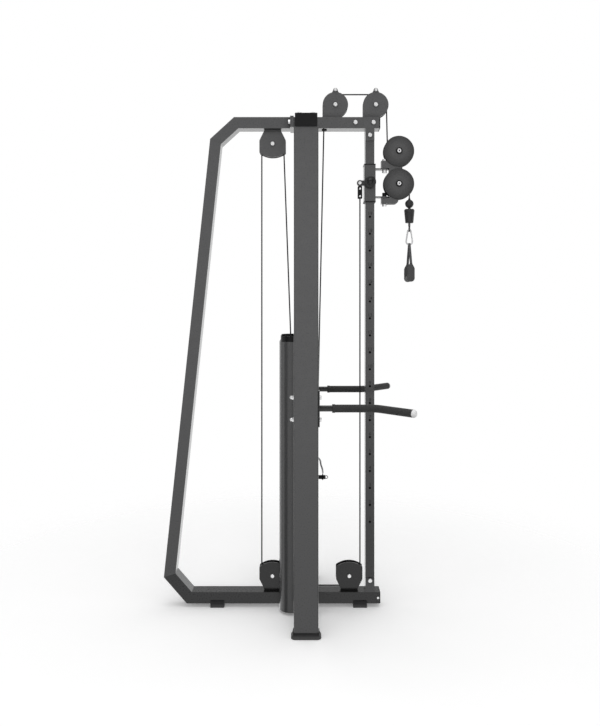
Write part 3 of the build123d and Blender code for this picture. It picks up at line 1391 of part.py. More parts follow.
def handle_fastener(y, z):
    """Bolt through a post and a handle plate, cap nut behind, head in front."""
    back, front = -POST_SIZE / 2, POST_SIZE / 2 + HANDLE_PLATE
    bolt = bar_x(HANDLE_BOLT, (back - HEX_DEPTH, front), y, z)
    head = bar_x(HANDLE_HEAD, (front, front + HEX_DEPTH), y, z)
    head = chamfer(head.faces().sort_by(Axis.X)[-1].edges(), 1.5)
    dome = bar_x(CAP_NUT_RADIUS, (back - CAP_NUT_LENGTH, back), y, z)
    dome = fillet(dome.faces().sort_by(Axis.X)[0].edges(), CAP_NUT_RADIUS - 1.5)
    return bolt + head + dome + hex_bar_x((back - HEX_DEPTH, back), y, z, AXLE_HEAD)


def through_bolt(x, z, reach):
    """Bolt along Y through the middle plane, domed head on the -Y side."""
    shank = bar_y(AXLE_RADIUS, x, (-reach, reach), z)
    head = round_head(AXLE_HEAD, x, -reach, z, -1)
    return shank + head + hex_bar_y(x, (reach, reach + HEX_DEPTH), z, AXLE_HEAD)


def flange_bolt(y):
    """Bolt that passes the rear joint flange and screws into the front one."""
    z = (BEAM_BOTTOM + TOP_EDGE) / 2
    back, front = JOINT_X - JOINT_FLANGE, JOINT_X + JOINT_FLANGE
    bolt = bar_x(HANDLE_BOLT, (back, front), y, z)
    return bolt + hex_bar_x((back - HEX_DEPTH, back), y, z)


def post_bolt(x, y):
    """Bolt down through the crossbeam into the cap of a post."""
    low = CROSSBEAM_BOTTOM - POST_CAP
    bolt = bar_z(AXLE_RADIUS, x, y, (low, CROSSBEAM_TOP))
    bolt += hex_bar_z(x, y, (CROSSBEAM_TOP, CROSSBEAM_TOP + HEX_DEPTH))
    return bolt + hex_bar_z(x, y, (low - HEX_DEPTH, low))


def cap_screw():
    """Small screw that holds the bottom tube's end cap."""
    x, face = FRONT_END_X - CAP_SCREW_SETBACK, -HALF_TUBE
    screw = bar_y(CAP_SCREW_RADIUS, x, (face, face + CAP_INSERT), TUBE_MIDDLE)
    return screw + bar_y(CAP_SCREW_HEAD, x, (face - CAP_SCREW_HEAD_DEPTH, face), TUBE_MIDDLE)


def frame_bolts():
    bolts = [through_bolt(x, TOP_EDGE - BEAM_BOLT_DROP, HALF_TUBE) for x in BEAM_BOLT_XS]
    side = UPRIGHT_WIDTH / 2 + SOCKET_SIDE
    bolts += [through_bolt(UPRIGHT_X, z, side) for z in socket_bolt_heights()]
    bolts += [flange_bolt(-FLANGE_BOLT_Y), flange_bolt(FLANGE_BOLT_Y), cap_screw()]
    for y in (-POST_Y, POST_Y):
        bolts += [handle_fastener(y, z) for z in handle_bolt_heights()]
        bolts += [post_bolt(x, y) for x in (-STACK_BOLT_OFFSET, STACK_BOLT_OFFSET)]
    return bolts


PULLEYS = {
    "top_inner_pulley": TOP_INNER,
    "top_front_pulley": TOP_FRONT,
    "rear_top_pulley": REAR_TOP,
    "rear_bottom_pulley": REAR_BOTTOM,
    "front_bottom_pulley": FRONT_BOTTOM,
    "stack_pulley": STACK_PULLEY,
    "swivel_upper_pulley": SWIVEL_UPPER,
    "swivel_lower_pulley": SWIVEL_LOWER,
}

PIECES = [
    lower_frame, rear_mast, upper_frame, front_beam, tube_end_plugs, rubber_feet,
    left_post, right_post, top_crossbeam, base_rails, front_upright, upright_sockets,
    pulley_brackets, pulley_axles, cable_grommets, frame_bolts,
    guide_rods, stack_bumpers, weight_plates, stack_shroud, shroud_trim,
    side_handles, handle_grips, handle_plugs,
    cable_top_run, cable_rear_run, cable_upright_span, cable_stack_front_span,
    cable_stack_rear_span, cable_lug_span, cable_stack_wrap, cable_swivel_wrap,
    cable_handle_drop, carriage_sleeve, carriage_bushings, cable_link, carriage_bolts,
    pop_pin, swivel_bracket, swivel_covers, swivel_axles, cable_stop, swivel_eye,
    carabiner, carabiner_gate, strap, handle_grip, stack_head, stack_axle, selector_pin,
    pin_lanyard,
]


def save(name, made):
    """Write one node, moved so that the footprint's middle is the origin."""
    pieces = made if isinstance(made, list) else [made]
    solids = [solid for piece in pieces for solid in piece.solids()]
    moved = [Pos(-FRAME_MIDDLE, 0, 0) * solid for solid in solids]
    export_step(Compound(children=moved) if len(moved) > 1 else moved[0], f"parts/{name}.step")


def main():
    os.makedirs("parts", exist_ok=True)
    for piece in PIECES:
        save(piece.__name__, piece())
    for name, centre in PULLEYS.items():
        save(name, pulley(centre))


main()
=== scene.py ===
"""Looks of the cable machine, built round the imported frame."""

import json
import math

import bpy
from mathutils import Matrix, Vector

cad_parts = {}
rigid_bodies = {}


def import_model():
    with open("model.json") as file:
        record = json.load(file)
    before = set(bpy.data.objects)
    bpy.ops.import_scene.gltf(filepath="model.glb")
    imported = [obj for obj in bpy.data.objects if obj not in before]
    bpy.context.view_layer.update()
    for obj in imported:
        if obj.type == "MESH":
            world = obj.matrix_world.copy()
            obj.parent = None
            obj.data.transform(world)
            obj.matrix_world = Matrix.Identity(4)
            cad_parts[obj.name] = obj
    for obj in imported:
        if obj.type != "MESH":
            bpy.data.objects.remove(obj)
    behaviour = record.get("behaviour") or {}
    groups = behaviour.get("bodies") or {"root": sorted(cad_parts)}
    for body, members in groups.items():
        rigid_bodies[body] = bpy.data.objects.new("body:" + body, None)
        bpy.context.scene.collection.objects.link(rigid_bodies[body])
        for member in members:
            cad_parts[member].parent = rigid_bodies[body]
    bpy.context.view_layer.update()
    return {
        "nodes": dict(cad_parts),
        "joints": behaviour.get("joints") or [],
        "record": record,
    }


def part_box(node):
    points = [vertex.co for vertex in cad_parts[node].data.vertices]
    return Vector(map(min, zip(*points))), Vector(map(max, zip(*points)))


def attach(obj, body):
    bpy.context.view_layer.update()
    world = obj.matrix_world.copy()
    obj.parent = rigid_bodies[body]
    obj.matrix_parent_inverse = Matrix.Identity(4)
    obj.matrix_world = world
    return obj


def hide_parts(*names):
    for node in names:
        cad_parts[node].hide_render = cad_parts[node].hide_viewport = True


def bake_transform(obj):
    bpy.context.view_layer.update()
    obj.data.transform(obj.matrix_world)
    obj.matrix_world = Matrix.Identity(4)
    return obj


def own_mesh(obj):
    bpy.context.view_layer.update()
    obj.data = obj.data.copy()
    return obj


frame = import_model()

# Where the two posts' middle stands along X in the frame, in metres.
POSTS_X = 0.0725


def at(x, y, z):
    """A point given in millimetres from the posts' middle, in the frame's metres."""
    return Vector((x / 1000 + POSTS_X, y / 1000, z / 1000))


# ---------------------------------------------------------------- node trees

RANGE_INPUTS = ("From Min", "From Max", "To Min", "To Max")
WHITE = (1, 1, 1, 1)


class Tree:
    """The nodes of a world or a material."""

    def __init__(self, owner, empty=False):
        owner.use_nodes = True
        self.tree = owner.node_tree
        if empty:
            self.tree.nodes.clear()

    def node(self, kind, **values):
        made = self.tree.nodes.new(kind)
        for key, value in values.items():
            setattr(made, key, value)
        return made

    def link(self, start, end):
        self.tree.links.new(start, end)

    def calc(self, operation, *values):
        """The result of a Math node on one or two values: numbers or other nodes' outputs."""
        made = self.node("ShaderNodeMath", operation=operation)
        for socket, value in zip(made.inputs, values):
            if isinstance(value, (int, float)):
                socket.default_value = value
            else:
                self.link(value, socket)
        return made.outputs[0]

    def ramp(self, fac, low, high, start=0.3, stop=0.7, smooth=False):
        """Fac between start and stop goes from low to high."""
        made = self.node("ShaderNodeMapRange")
        if smooth:
            made.interpolation_type = "SMOOTHSTEP"
        for name, value in zip(RANGE_INPUTS, (start, stop, low, high)):
            made.inputs[name].default_value = value
        self.link(fac, made.inputs["Value"])
        return made.outputs["Result"]

    def blended(self, fac, first, second):
        """A surface that goes from the first shader to the second with fac."""
        made = self.node("ShaderNodeMixShader")
        for socket, value in zip(made.inputs, (fac, first, second)):
            self.link(value, socket)
        return made.outputs[0]

    def background(self):
        """A white background shader, which a world may dim."""
        made = self.node("ShaderNodeBackground")
        made.inputs["Color"].default_value = WHITE
        return made


# ---------------------------------------------------------------- camera and light

SENSOR = 36
LENS = 36.4
CAMERA_AT = (0.0608, -3.300, 1.385)
CAMERA_SHIFT = (-0.0047, -0.0923)
FAR_CLIP = 100
CARD_BLACK = (0.01, 0.01, 0.01, 1)
# How steeply a ray rises where the white starts to dim, and where it has dimmed.
CEILING_START, CEILING_STOP = 0.10, 0.42
FLOOR_SIDES = 96
FLOOR_FADE_END = 0.98
# Painted contact shadow: the floor's glow falls to the shadow tone where surfaces within the
# reach, in metres, hide as much as the start.
CONTACT_SHADOW_REACH = 0.45
CONTACT_SHADOW_TONE = 0.6
CONTACT_SHADOW_START = 0.4
HIDDEN_FROM_ALL_BUT_GLOSS = ("camera", "diffuse", "transmission", "volume_scatter", "shadow")


def add_camera():
    data = bpy.data.cameras.new("camera")
    data.sensor_width = SENSOR
    data.lens = LENS
    data.shift_x, data.shift_y = CAMERA_SHIFT
    data.clip_end = FAR_CLIP
    camera = bpy.data.objects.new("camera", data)
    camera.location = CAMERA_AT
    camera.rotation_euler = (math.pi / 2, 0, 0)
    bpy.context.collection.objects.link(camera)
    bpy.context.scene.camera = camera
    bpy.context.scene.view_settings.view_transform = "Standard"


def add_lamp(name, place, target, size, power, mirrored=True):
    """A round lamp of a size in metres and a power in watts, aimed at the target."""
    data = bpy.data.lights.new(name, "AREA")
    data.shape = "DISK"
    data.size = size
    data.energy = power
    lamp = bpy.data.objects.new(name, data)
    lamp.location = place
    aim = Vector(target) - Vector(place)
    lamp.rotation_euler = aim.to_track_quat("-Z", "Y").to_euler()
    lamp.visible_glossy = mirrored
    bpy.context.collection.objects.link(lamp)


def add_world(level, top):
    """Even light at one level. The camera sees white; gloss sees white that dims to top above."""
    world = bpy.data.worlds.new("studio")
    bpy.context.scene.world = world
    tree = Tree(world, empty=True)
    lit, white = tree.background(), tree.background()
    lit.inputs["Strength"].default_value = level
    rays = tree.node("ShaderNodeLightPath").outputs
    height = tree.node("ShaderNodeSeparateXYZ")
    tree.link(tree.node("ShaderNodeTexCoord").outputs["Generated"], height.inputs[0])
    ceiling = tree.ramp(height.outputs["Z"], 1.0, top, CEILING_START, CEILING_STOP, smooth=True)
    bright = tree.calc("MAXIMUM", ceiling, rays["Is Camera Ray"])
    tree.link(bright, white.inputs["Strength"])
    seen = tree.calc("MAXIMUM", rays["Is Camera Ray"], rays["Is Glossy Ray"])
    through = tree.calc("MAXIMUM", seen, rays["Is Transmission Ray"])
    out = tree.node("ShaderNodeOutputWorld")
    tree.link(tree.blended(through, lit.outputs[0], white.outputs[0]), out.inputs["Surface"])


def add_floor(albedo, bounce, lift, clear, edge):
    """A pale disc that keeps the shadow and fades, past clear, into the white round it.

    Bounce is its tone for the light that it throws back. Lift is a glow that only the camera sees,
    weaker where something stands close, as a painted contact shadow. Gloss sees the world instead
    of the floor.
    """
    mesh = bpy.data.meshes.new("floor")
    turns = [2 * math.pi * k / FLOOR_SIDES for k in range(FLOOR_SIDES)]
    corners = [(edge * math.cos(a), edge * math.sin(a), 0) for a in turns]
    mesh.from_pydata(corners, [], [tuple(range(FLOOR_SIDES))])
    floor = bpy.data.objects.new("floor", mesh)
    bpy.context.collection.objects.link(floor)
    made = bpy.data.materials.new("floor_white")
    tree = Tree(made, empty=True)
    rays = tree.node("ShaderNodeLightPath").outputs
    tone = tree.node("ShaderNodeMix", data_type="RGBA")
    tone.inputs["A"].default_value = (albedo, albedo, albedo, 1)
    tone.inputs["B"].default_value = (bounce, bounce, bounce, 1)
    tree.link(rays["Is Diffuse Ray"], tone.inputs["Factor"])
    paint = tree.node("ShaderNodeBsdfDiffuse")
    tree.link(tone.outputs["Result"], paint.inputs["Color"])
    # Painted contact shadow: occlusion dims the floor's glow near the machine.
    near = tree.node("ShaderNodeAmbientOcclusion")
    near.inputs["Distance"].default_value = CONTACT_SHADOW_REACH
    shade = tree.ramp(near.outputs["AO"], CONTACT_SHADOW_TONE, 1.0, CONTACT_SHADOW_START, 1.0)
    seen = tree.calc("MAXIMUM", rays["Is Camera Ray"], rays["Is Glossy Ray"])
    glow = tree.node("ShaderNodeEmission")
    level = tree.calc("MULTIPLY", seen, lift)
    tree.link(tree.calc("MULTIPLY", level, shade), glow.inputs["Strength"])
    add = tree.node("ShaderNodeAddShader")
    tree.link(paint.outputs[0], add.inputs[0])
    tree.link(glow.outputs[0], add.inputs[1])
    away = tree.node("ShaderNodeVectorMath", operation="LENGTH")
    tree.link(tree.node("ShaderNodeTexCoord").outputs["Object"], away.inputs[0])
    fade = tree.ramp(away.outputs["Value"], 0, 1, clear, edge * FLOOR_FADE_END, smooth=True)
    gone = tree.node("ShaderNodeBsdfTransparent")
    out = tree.node("ShaderNodeOutputMaterial")
    tree.link(tree.blended(fade, add.outputs[0], gone.outputs[0]), out.inputs["Surface"])
    mesh.materials.append(made)
    floor.visible_glossy = False


def add_card(name, azimuth, distance, width, height):
    """A dark card, centred on the floor's level, that only reflections see.

    The azimuth is from -Y towards +X, in degrees.
    """
    turn = math.radians(azimuth)
    across = Vector((math.cos(turn), math.sin(turn), 0)) * width / 2
    middle = Vector((math.sin(turn), -math.cos(turn), 0)) * distance
    up = Vector((0, 0, height / 2))
    left, right = middle - across, middle + across
    mesh = bpy.data.meshes.new(name)
    mesh.from_pydata([left - up, right - up, right + up, left + up], [], [(0, 1, 2, 3)])
    card = bpy.data.objects.new(name, mesh)
    bpy.context.collection.objects.link(card)
    made = bpy.data.materials.new(name)
    made.use_nodes = True
    made.node_tree.nodes["Principled BSDF"].inputs["Base Color"].default_value = CARD_BLACK
    mesh.materials.append(made)
    for kind in HIDDEN_FROM_ALL_BUT_GLOSS:
        setattr(card, "visible_" + kind, False)


add_camera()
add_world(level=0.58, top=0.3)
add_lamp("top_lamp", (-0.2, -0.4, 5.0), (0, 0, 1.0), 4.0, 66)
add_lamp("front_lamp", (0.5, -5.2, 2.4), (0, 0, 1.2), 3.0, 66, mirrored=False)
add_floor(albedo=0.88, bounce=0.32, lift=0.25, clear=0.95, edge=2.2)
add_card("left_card", -54, 4.5, 2.6, 10.0)
add_card("right_card", 54, 4.5, 2.6, 10.0)


# ---------------------------------------------------------------- materials

# From the swivel axles' lowest X to their middle line, in metres.
AXLE_HEAD = 0.009
# Painted shade towards the covers' edge, as a share of their colour.
COVER_EDGE_SHADE = 0.45
# Painted shade in crevices: its reach in metres, and the occlusion where it is deepest and where
# it ends.
CREVICE_SHADE_REACH = 0.03
CREVICE_SHADE_DEEP, CREVICE_SHADE_OPEN = 0.25, 0.95
LEAST_ROUGHNESS = 0.02
STRAND_SCALE = 180
WEAVE_SCALE = 160
WEAVE_WAVER = 0.4
CREVICE_SHADE_SAMPLES = 6
EDGE_SAMPLES = 4


def grey(level, blue=None):
    """A grey, or one with a little more blue."""
    return (level, level, level if blue is None else blue)


PALE_FLECK = grey(0.2, 0.205)
# Painted shade on the covers' rim that faces sideways.
RIM_SHADE_BLACK = grey(0.006)
# Painted highlight on the boots' flare, below the collar.
BOOT_FLARE_HIGHLIGHT = grey(0.062)
RUBBER_UP_DOWN_PALE = grey(0.075)
BARE_IRON = (0.16, 0.155, 0.15)
WEB_LINT = grey(0.10, 0.105)


def swivel_axle_heights():
    """Heights of the axles of the swivel's two pulleys."""
    return [j["pos_m"][2] for j in frame["joints"] if j["parent"] == "swivel" and "pos_m" in j]


class Finish(Tree):
    """A procedural material: colour mottle, grain bump and varied roughness."""

    def __init__(self, name, colour, roughness, metallic=0.0, specular=0.5):
        self.material = bpy.data.materials.new(name)
        super().__init__(self.material)
        self.shader = self.tree.nodes["Principled BSDF"]
        self.colour = colour
        self.shader.inputs["Base Color"].default_value = (*colour, 1)
        self.shader.inputs["Roughness"].default_value = roughness
        self.shader.inputs["Metallic"].default_value = metallic
        self.shader.inputs["Specular IOR Level"].default_value = specular
        self.roughness = roughness
        self.place = self.node("ShaderNodeTexCoord").outputs["Object"]
        self.normal = None
        self.mottled = None

    def stretched(self, scale):
        """The object's place, scaled along X, Y and Z."""
        made = self.node("ShaderNodeMapping")
        made.inputs["Scale"].default_value = scale
        self.link(self.place, made.inputs["Vector"])
        return made.outputs["Vector"]

    def noise(self, scale, detail=3, rough=0.55, vector=None):
        made = self.node("ShaderNodeTexNoise")
        made.inputs["Scale"].default_value = scale
        made.inputs["Detail"].default_value = detail
        made.inputs["Roughness"].default_value = rough
        self.link(vector or self.place, made.inputs["Vector"])
        return made.outputs["Fac"]

    def cells(self, scale):
        made = self.node("ShaderNodeTexVoronoi", feature="F1")
        made.inputs["Scale"].default_value = scale
        self.link(self.place, made.inputs["Vector"])
        return made.outputs["Distance"]

    def recolour(self, output):
        """The base colour so far is this output."""
        self.mottled = output
        self.link(output, self.shader.inputs["Base Color"])

    def tint(self, fac, low, high, start=0.3, stop=0.7):
        """Base colour goes between two multiples of itself with fac."""
        made = self.node("ShaderNodeMix", data_type="RGBA")
        made.inputs["A"].default_value = (*(c * low for c in self.colour), 1)
        made.inputs["B"].default_value = (*(c * high for c in self.colour), 1)
        self.link(self.ramp(fac, 0, 1, start, stop), made.inputs["Factor"])
        self.recolour(made.outputs["Result"])

    def mark(self, fac, colour, amount):
        """Another colour over the tint where fac is high."""
        made = self.node("ShaderNodeMix", data_type="RGBA")
        made.inputs["B"].default_value = (*colour, 1)
        self.link(self.mottled, made.inputs["A"])
        self.link(self.ramp(fac, 0, amount, 0, 1), made.inputs["Factor"])
        self.recolour(made.outputs["Result"])

    def gloss(self, fac, spread):
        """Roughness varies by spread either side of its middle."""
        low = max(LEAST_ROUGHNESS, self.roughness - spread)
        made = self.ramp(fac, low, self.roughness + spread)
        self.link(made, self.shader.inputs["Roughness"])

    def slope(self, axis):
        """How squarely the surface faces along an axis of the object, from 0 to 1."""
        parts = self.node("ShaderNodeSeparateXYZ")
        self.link(self.node("ShaderNodeTexCoord").outputs["Normal"], parts.inputs[0])
        return self.calc("ABSOLUTE", parts.outputs[axis])

    def height(self):
        """Height above the floor, in metres."""
        parts = self.node("ShaderNodeSeparateXYZ")
        self.link(self.place, parts.inputs[0])
        return parts.outputs["Z"]

    def from_axles(self, heights, x):
        """Distance to the nearest of the axles that lie along Y at these heights."""
        nearest = None
        for z in heights:
            away = self.node("ShaderNodeVectorMath", operation="MULTIPLY_ADD")
            self.link(self.place, away.inputs[0])
            away.inputs[1].default_value = (1, 0, 1)
            away.inputs[2].default_value = (-x, 0, -z)
            length = self.node("ShaderNodeVectorMath", operation="LENGTH")
            self.link(away.outputs["Vector"], length.inputs[0])
            found = length.outputs["Value"]
            nearest = self.calc("MINIMUM", nearest, found) if nearest else found
        return nearest

    def bump(self, height, depth, distance):
        """Relief of a strength and a distance in metres, over the relief so far."""
        made = self.node("ShaderNodeBump")
        made.inputs["Strength"].default_value = depth
        made.inputs["Distance"].default_value = distance
        self.link(height, made.inputs["Height"])
        if self.normal:
            self.link(self.normal, made.inputs["Normal"])
        self.normal = made.outputs["Normal"]
        self.link(self.normal, self.shader.inputs["Normal"])

    def skin(self, weight, roughness, ior):
        """A clear layer over the colour."""
        self.shader.inputs["Coat Weight"].default_value = weight
        self.shader.inputs["Coat Roughness"].default_value = roughness
        self.shader.inputs["Coat IOR"].default_value = ior

    def painted_crevice_shade(self, reach, low):
        """Painted shade: the colour sinks towards low times itself where another surface is close.
        """
        near = self.node("ShaderNodeAmbientOcclusion", samples=CREVICE_SHADE_SAMPLES)
        near.inputs["Distance"].default_value = reach
        shade = self.ramp(near.outputs["AO"], low, 1.0, CREVICE_SHADE_DEEP, CREVICE_SHADE_OPEN)
        made = self.node("ShaderNodeVectorMath", operation="SCALE")
        self.link(self.mottled, made.inputs[0])
        self.link(shade, made.inputs["Scale"])
        self.recolour(made.outputs["Vector"])

    def soft_edges(self, radius):
        """Edges catch the light as if rounded; relief goes on after this."""
        made = self.node("ShaderNodeBevel", samples=EDGE_SAMPLES)
        made.inputs["Radius"].default_value = radius
        self.normal = made.outputs["Normal"]


def powder_coat(
    name, colour, roughness=0.30, specular=0.25, floor_shade_tone=None, gleam=1.33, blur=0.16, crevice_shade=0.1
):
    """Textured powder coat with a clear skin; near the floor its colour sinks to the floor shade
    tone times itself, a painted shade.

    Gleam is the skin's refraction and blur its roughness. The crevice shade is what the colour is
    multiplied by where another surface is close, a painted shade, so 1 leaves it alone.
    """
    made = Finish(name, colour, roughness, specular=specular)
    made.skin(1.0, roughness=blur, ior=gleam)
    made.soft_edges(0.0026)
    made.tint(made.noise(38, detail=5, rough=0.65), low=0.94, high=1.06)
    made.mark(made.ramp(made.cells(420), 1, 0, start=0.05, stop=0.22), PALE_FLECK, 0.04)
    # Painted shade: the colour darkens towards the floor.
    if floor_shade_tone:
        low = made.ramp(made.height(), 1, 0, start=0.3, stop=0.9)
        made.mark(low, tuple(c * floor_shade_tone for c in colour), 1.0)
    made.gloss(made.noise(160), spread=0.06)
    made.bump(made.noise(900, detail=2), depth=0.10, distance=0.0004)
    made.bump(made.noise(220, detail=2), depth=0.04, distance=0.0008)
    # Painted shade where another surface is close.
    made.painted_crevice_shade(CREVICE_SHADE_REACH, crevice_shade)
    return made.material


def moulded_plastic(name, colour, roughness=0.4, specular=0.2):
    """Moulded plastic with a fine spark-eroded texture and handling marks."""
    made = Finish(name, colour, roughness, specular=specular)
    made.soft_edges(0.0006)
    made.tint(made.noise(60, detail=4), low=0.85, high=1.15)
    made.gloss(made.noise(25, detail=4, rough=0.7), spread=0.10)
    made.bump(made.cells(1500), depth=0.10, distance=0.0003)
    made.bump(made.noise(400, detail=2), depth=0.08, distance=0.0004)
    return made.material


def cover_plastic(name, colour):
    """Textured cover plastic with painted shade: darker towards its edge, as a domed cover is
    shaded, and on the rim that faces sideways.
    """
    made = Finish(name, colour, 0.55, specular=0.2)
    made.soft_edges(0.003)
    made.tint(made.noise(320, rough=0.7), low=0.72, high=1.28)
    # Painted shade: darker towards each cover's edge and black on the rim that faces sideways.
    away = made.from_axles(swivel_axle_heights(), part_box("swivel_axles")[0].x + AXLE_HEAD)
    edge = made.ramp(away, 0, 1, start=0.030, stop=0.072)
    made.mark(edge, tuple(c * COVER_EDGE_SHADE for c in colour), 0.9)
    made.mark(made.ramp(made.slope("Y"), 1, 0, start=0.5, stop=0.97), RIM_SHADE_BLACK, 1.0)
    made.gloss(made.noise(60), spread=0.08)
    made.bump(made.noise(520, rough=0.6), depth=0.35, distance=0.0006)
    return made.material


def boot_rubber(name, colour):
    """Rubber boot with a painted highlight: paler below its collar, where the flare faces up."""
    made = Finish(name, colour, 0.6, specular=0.3)
    made.tint(made.noise(90, detail=5, rough=0.7), low=0.9, high=1.1)
    made.mark(made.ramp(made.height(), 1, 0, start=0.008, stop=0.018), BOOT_FLARE_HIGHLIGHT, 1.0)
    made.gloss(made.noise(70), spread=0.08)
    made.bump(made.noise(700), depth=0.2, distance=0.0005)
    return made.material


def soft_rubber(name, colour):
    """Rubber, paler on what faces up or down."""
    made = Finish(name, colour, 0.82, specular=0.3)
    made.tint(made.noise(90, detail=5, rough=0.7), low=0.8, high=1.25)
    made.mark(made.ramp(made.slope("Z"), 0, 1, start=0.15, stop=0.75), RUBBER_UP_DOWN_PALE, 0.8)
    made.gloss(made.noise(70), spread=0.08)
    made.bump(made.noise(700), depth=0.25, distance=0.0005)
    return made.material


def zinc_plate(name, colour, roughness=0.28, metallic=1.0):
    """Zinc-plated steel, drawn and slightly clouded."""
    made = Finish(name, colour, roughness, metallic=metallic)
    made.soft_edges(0.0004)
    made.tint(made.noise(140, detail=4, rough=0.7), low=0.88, high=1.06)
    made.gloss(made.noise(300), spread=0.10)
    drawn = made.noise(60, detail=2, vector=made.stretched((40, 40, 4)))
    made.bump(drawn, depth=0.08, distance=0.0003)
    return made.material


def dull_wire(name, colour):
    """Bright wire with a satin plating that spreads what it mirrors."""
    made = Finish(name, colour, 0.45, metallic=0.35)
    made.tint(made.noise(110, detail=4, rough=0.6), low=0.92, high=1.05)
    made.gloss(made.noise(260), spread=0.08)
    made.bump(made.noise(700, detail=2), depth=0.06, distance=0.0002)
    return made.material


def chrome_plate(name, colour):
    """Chrome-plated steel with faint handling clouds."""
    made = Finish(name, colour, 0.10, metallic=1.0)
    made.tint(made.noise(30, detail=4), low=0.95, high=1.03)
    made.gloss(made.noise(18, detail=5, rough=0.75), spread=0.05)
    drawn = made.noise(50, detail=2, vector=made.stretched((60, 60, 1)))
    made.bump(drawn, depth=0.04, distance=0.0002)
    return made.material


def cast_metal(name, colour):
    """Painted iron casting with pits and worn high spots."""
    made = Finish(name, colour, 0.6)
    made.soft_edges(0.002)
    made.tint(made.noise(30, detail=5, rough=0.7), low=0.75, high=1.25)
    worn = made.ramp(made.noise(12, detail=6, rough=0.8), 0, 1, start=0.62, stop=0.75)
    made.mark(worn, BARE_IRON, 0.25)
    made.gloss(made.noise(80, detail=4), spread=0.12)
    made.bump(made.noise(180, detail=5, rough=0.7), depth=0.45, distance=0.0012)
    return made.material


def foam_rubber(name, colour):
    """Closed-cell foam grip with a skin of fine cells."""
    made = Finish(name, colour, 0.75, specular=0.35)
    made.shader.inputs["Sheen Weight"].default_value = 0.15
    made.tint(made.noise(200, detail=4, rough=0.7), low=0.8, high=1.2)
    made.gloss(made.noise(35), spread=0.08)
    made.bump(made.cells(900), depth=0.30, distance=0.0005)
    made.bump(made.noise(120), depth=0.12, distance=0.0008)
    return made.material


def cable_jacket(name, colour):
    """Black nylon over steel strands, whose lay shows faintly through."""
    made = Finish(name, colour, 0.5, specular=0.3)
    made.tint(made.noise(120), low=0.8, high=1.2)
    made.gloss(made.noise(220), spread=0.07)
    lay = made.node("ShaderNodeTexWave", wave_type="BANDS", bands_direction="DIAGONAL")
    lay.inputs["Scale"].default_value = STRAND_SCALE
    made.link(made.place, lay.inputs["Vector"])
    made.bump(lay.outputs["Fac"], depth=0.10, distance=0.0002)
    return made.material


def turned_nylon(name, colour):
    """Pulley nylon with a fine grain."""
    made = Finish(name, colour, 0.45)
    made.soft_edges(0.0008)
    made.tint(made.noise(70, detail=4), low=0.8, high=1.2)
    made.gloss(made.noise(90), spread=0.08)
    made.bump(made.noise(500, detail=2), depth=0.14, distance=0.0004)
    return made.material


def webbing(name, colour):
    """Woven webbing: warp cords along the strap and picks across it."""
    made = Finish(name, colour, 0.85, specular=0.25)
    made.shader.inputs["Sheen Weight"].default_value = 0.25
    made.shader.inputs["Sheen Roughness"].default_value = 0.4
    uv = made.node("ShaderNodeTexCoord").outputs["UV"]
    waves = []
    for direction in ("X", "Y"):
        wave = made.node("ShaderNodeTexWave", bands_direction=direction)
        wave.inputs["Scale"].default_value = WEAVE_SCALE
        wave.inputs["Distortion"].default_value = WEAVE_WAVER
        made.link(uv, wave.inputs["Vector"])
        waves.append(wave.outputs["Fac"])
    weave = made.calc("MULTIPLY", *waves)
    made.tint(weave, low=0.7, high=1.35, start=0.0, stop=0.9)
    made.mark(made.noise(240, detail=4, rough=0.7), WEB_LINT, 0.25)
    made.gloss(made.noise(150), spread=0.06)
    made.bump(weave, depth=0.5, distance=0.0005)
    return made.material


MATERIALS = {
    "powder_coat": powder_coat("powder_coat_grey", grey(0.076, 0.0775), floor_shade_tone=0.88),
    "black_plastic": moulded_plastic("moulded_black", grey(0.008, 0.0085)),
    "rubber": soft_rubber("rubber_black", grey(0.022)),
    "zinc_steel": zinc_plate("zinc_plated", grey(0.92, 0.925), 0.28, 0.75),
    "chrome": chrome_plate("chrome_plated", grey(0.82)),
    "cable_jacket": cable_jacket("cable_black", grey(0.014, 0.0145)),
    "nylon": turned_nylon("pulley_nylon", grey(0.022, 0.0225)),
    "cast_weight": cast_metal("cast_iron_paint", grey(0.045, 0.046)),
    "grip_foam": foam_rubber("grip_foam_black", grey(0.033)),
    "white_plastic": moulded_plastic("moulded_white", grey(0.80), 0.4),
    "webbing": webbing("webbing_black", grey(0.088, 0.089)),
}
NODE_FINISHES = {
    "front_upright": powder_coat("upright_coat", grey(0.061, 0.062), floor_shade_tone=0.5, crevice_shade=1.0),
    "lower_frame": powder_coat("lower_coat", grey(0.015, 0.0155)),
    "pulley_brackets": powder_coat("bracket_coat", grey(0.079, 0.0805), floor_shade_tone=0.13),
    "side_handles": powder_coat("handle_coat", grey(0.012, 0.0125)),
    "shroud": powder_coat(
        "shroud_coat", grey(0.012, 0.0125), roughness=0.24, specular=0.35, gleam=1.5, blur=0.07
    ),
    "swivel_covers": cover_plastic("cover_plastic", grey(0.090, 0.091)),
    "rubber_feet": boot_rubber("boot_rubber", grey(0.016, 0.0165)),
    "cable_stop": moulded_plastic("stop_plastic", grey(0.038, 0.0385)),
    "pop_pin": moulded_plastic("knob_plastic", grey(0.010, 0.0105), 0.28, 0.45),
    "swivel_axles": zinc_plate("axle_zinc", grey(0.88, 0.885), 0.32, 0.75),
    "swivel_eye": zinc_plate("eye_zinc", grey(0.16, 0.165), 0.40),
    "carabiner": dull_wire("hook_wire", grey(0.72, 0.73)),
    "carabiner_gate": dull_wire("gate_wire", grey(0.70, 0.71)),
}
NODE_FINISHES["carriage_sleeve"] = NODE_FINISHES["front_upright"]
NUMBER_FINISH = moulded_plastic("number_ink", grey(0.036, 0.0365))
THREAD_FINISH = moulded_plastic("strap_thread", grey(0.10, 0.102), 0.6)
RING_FINISH = moulded_plastic("hub_ring", grey(0.006, 0.0065), 0.45)
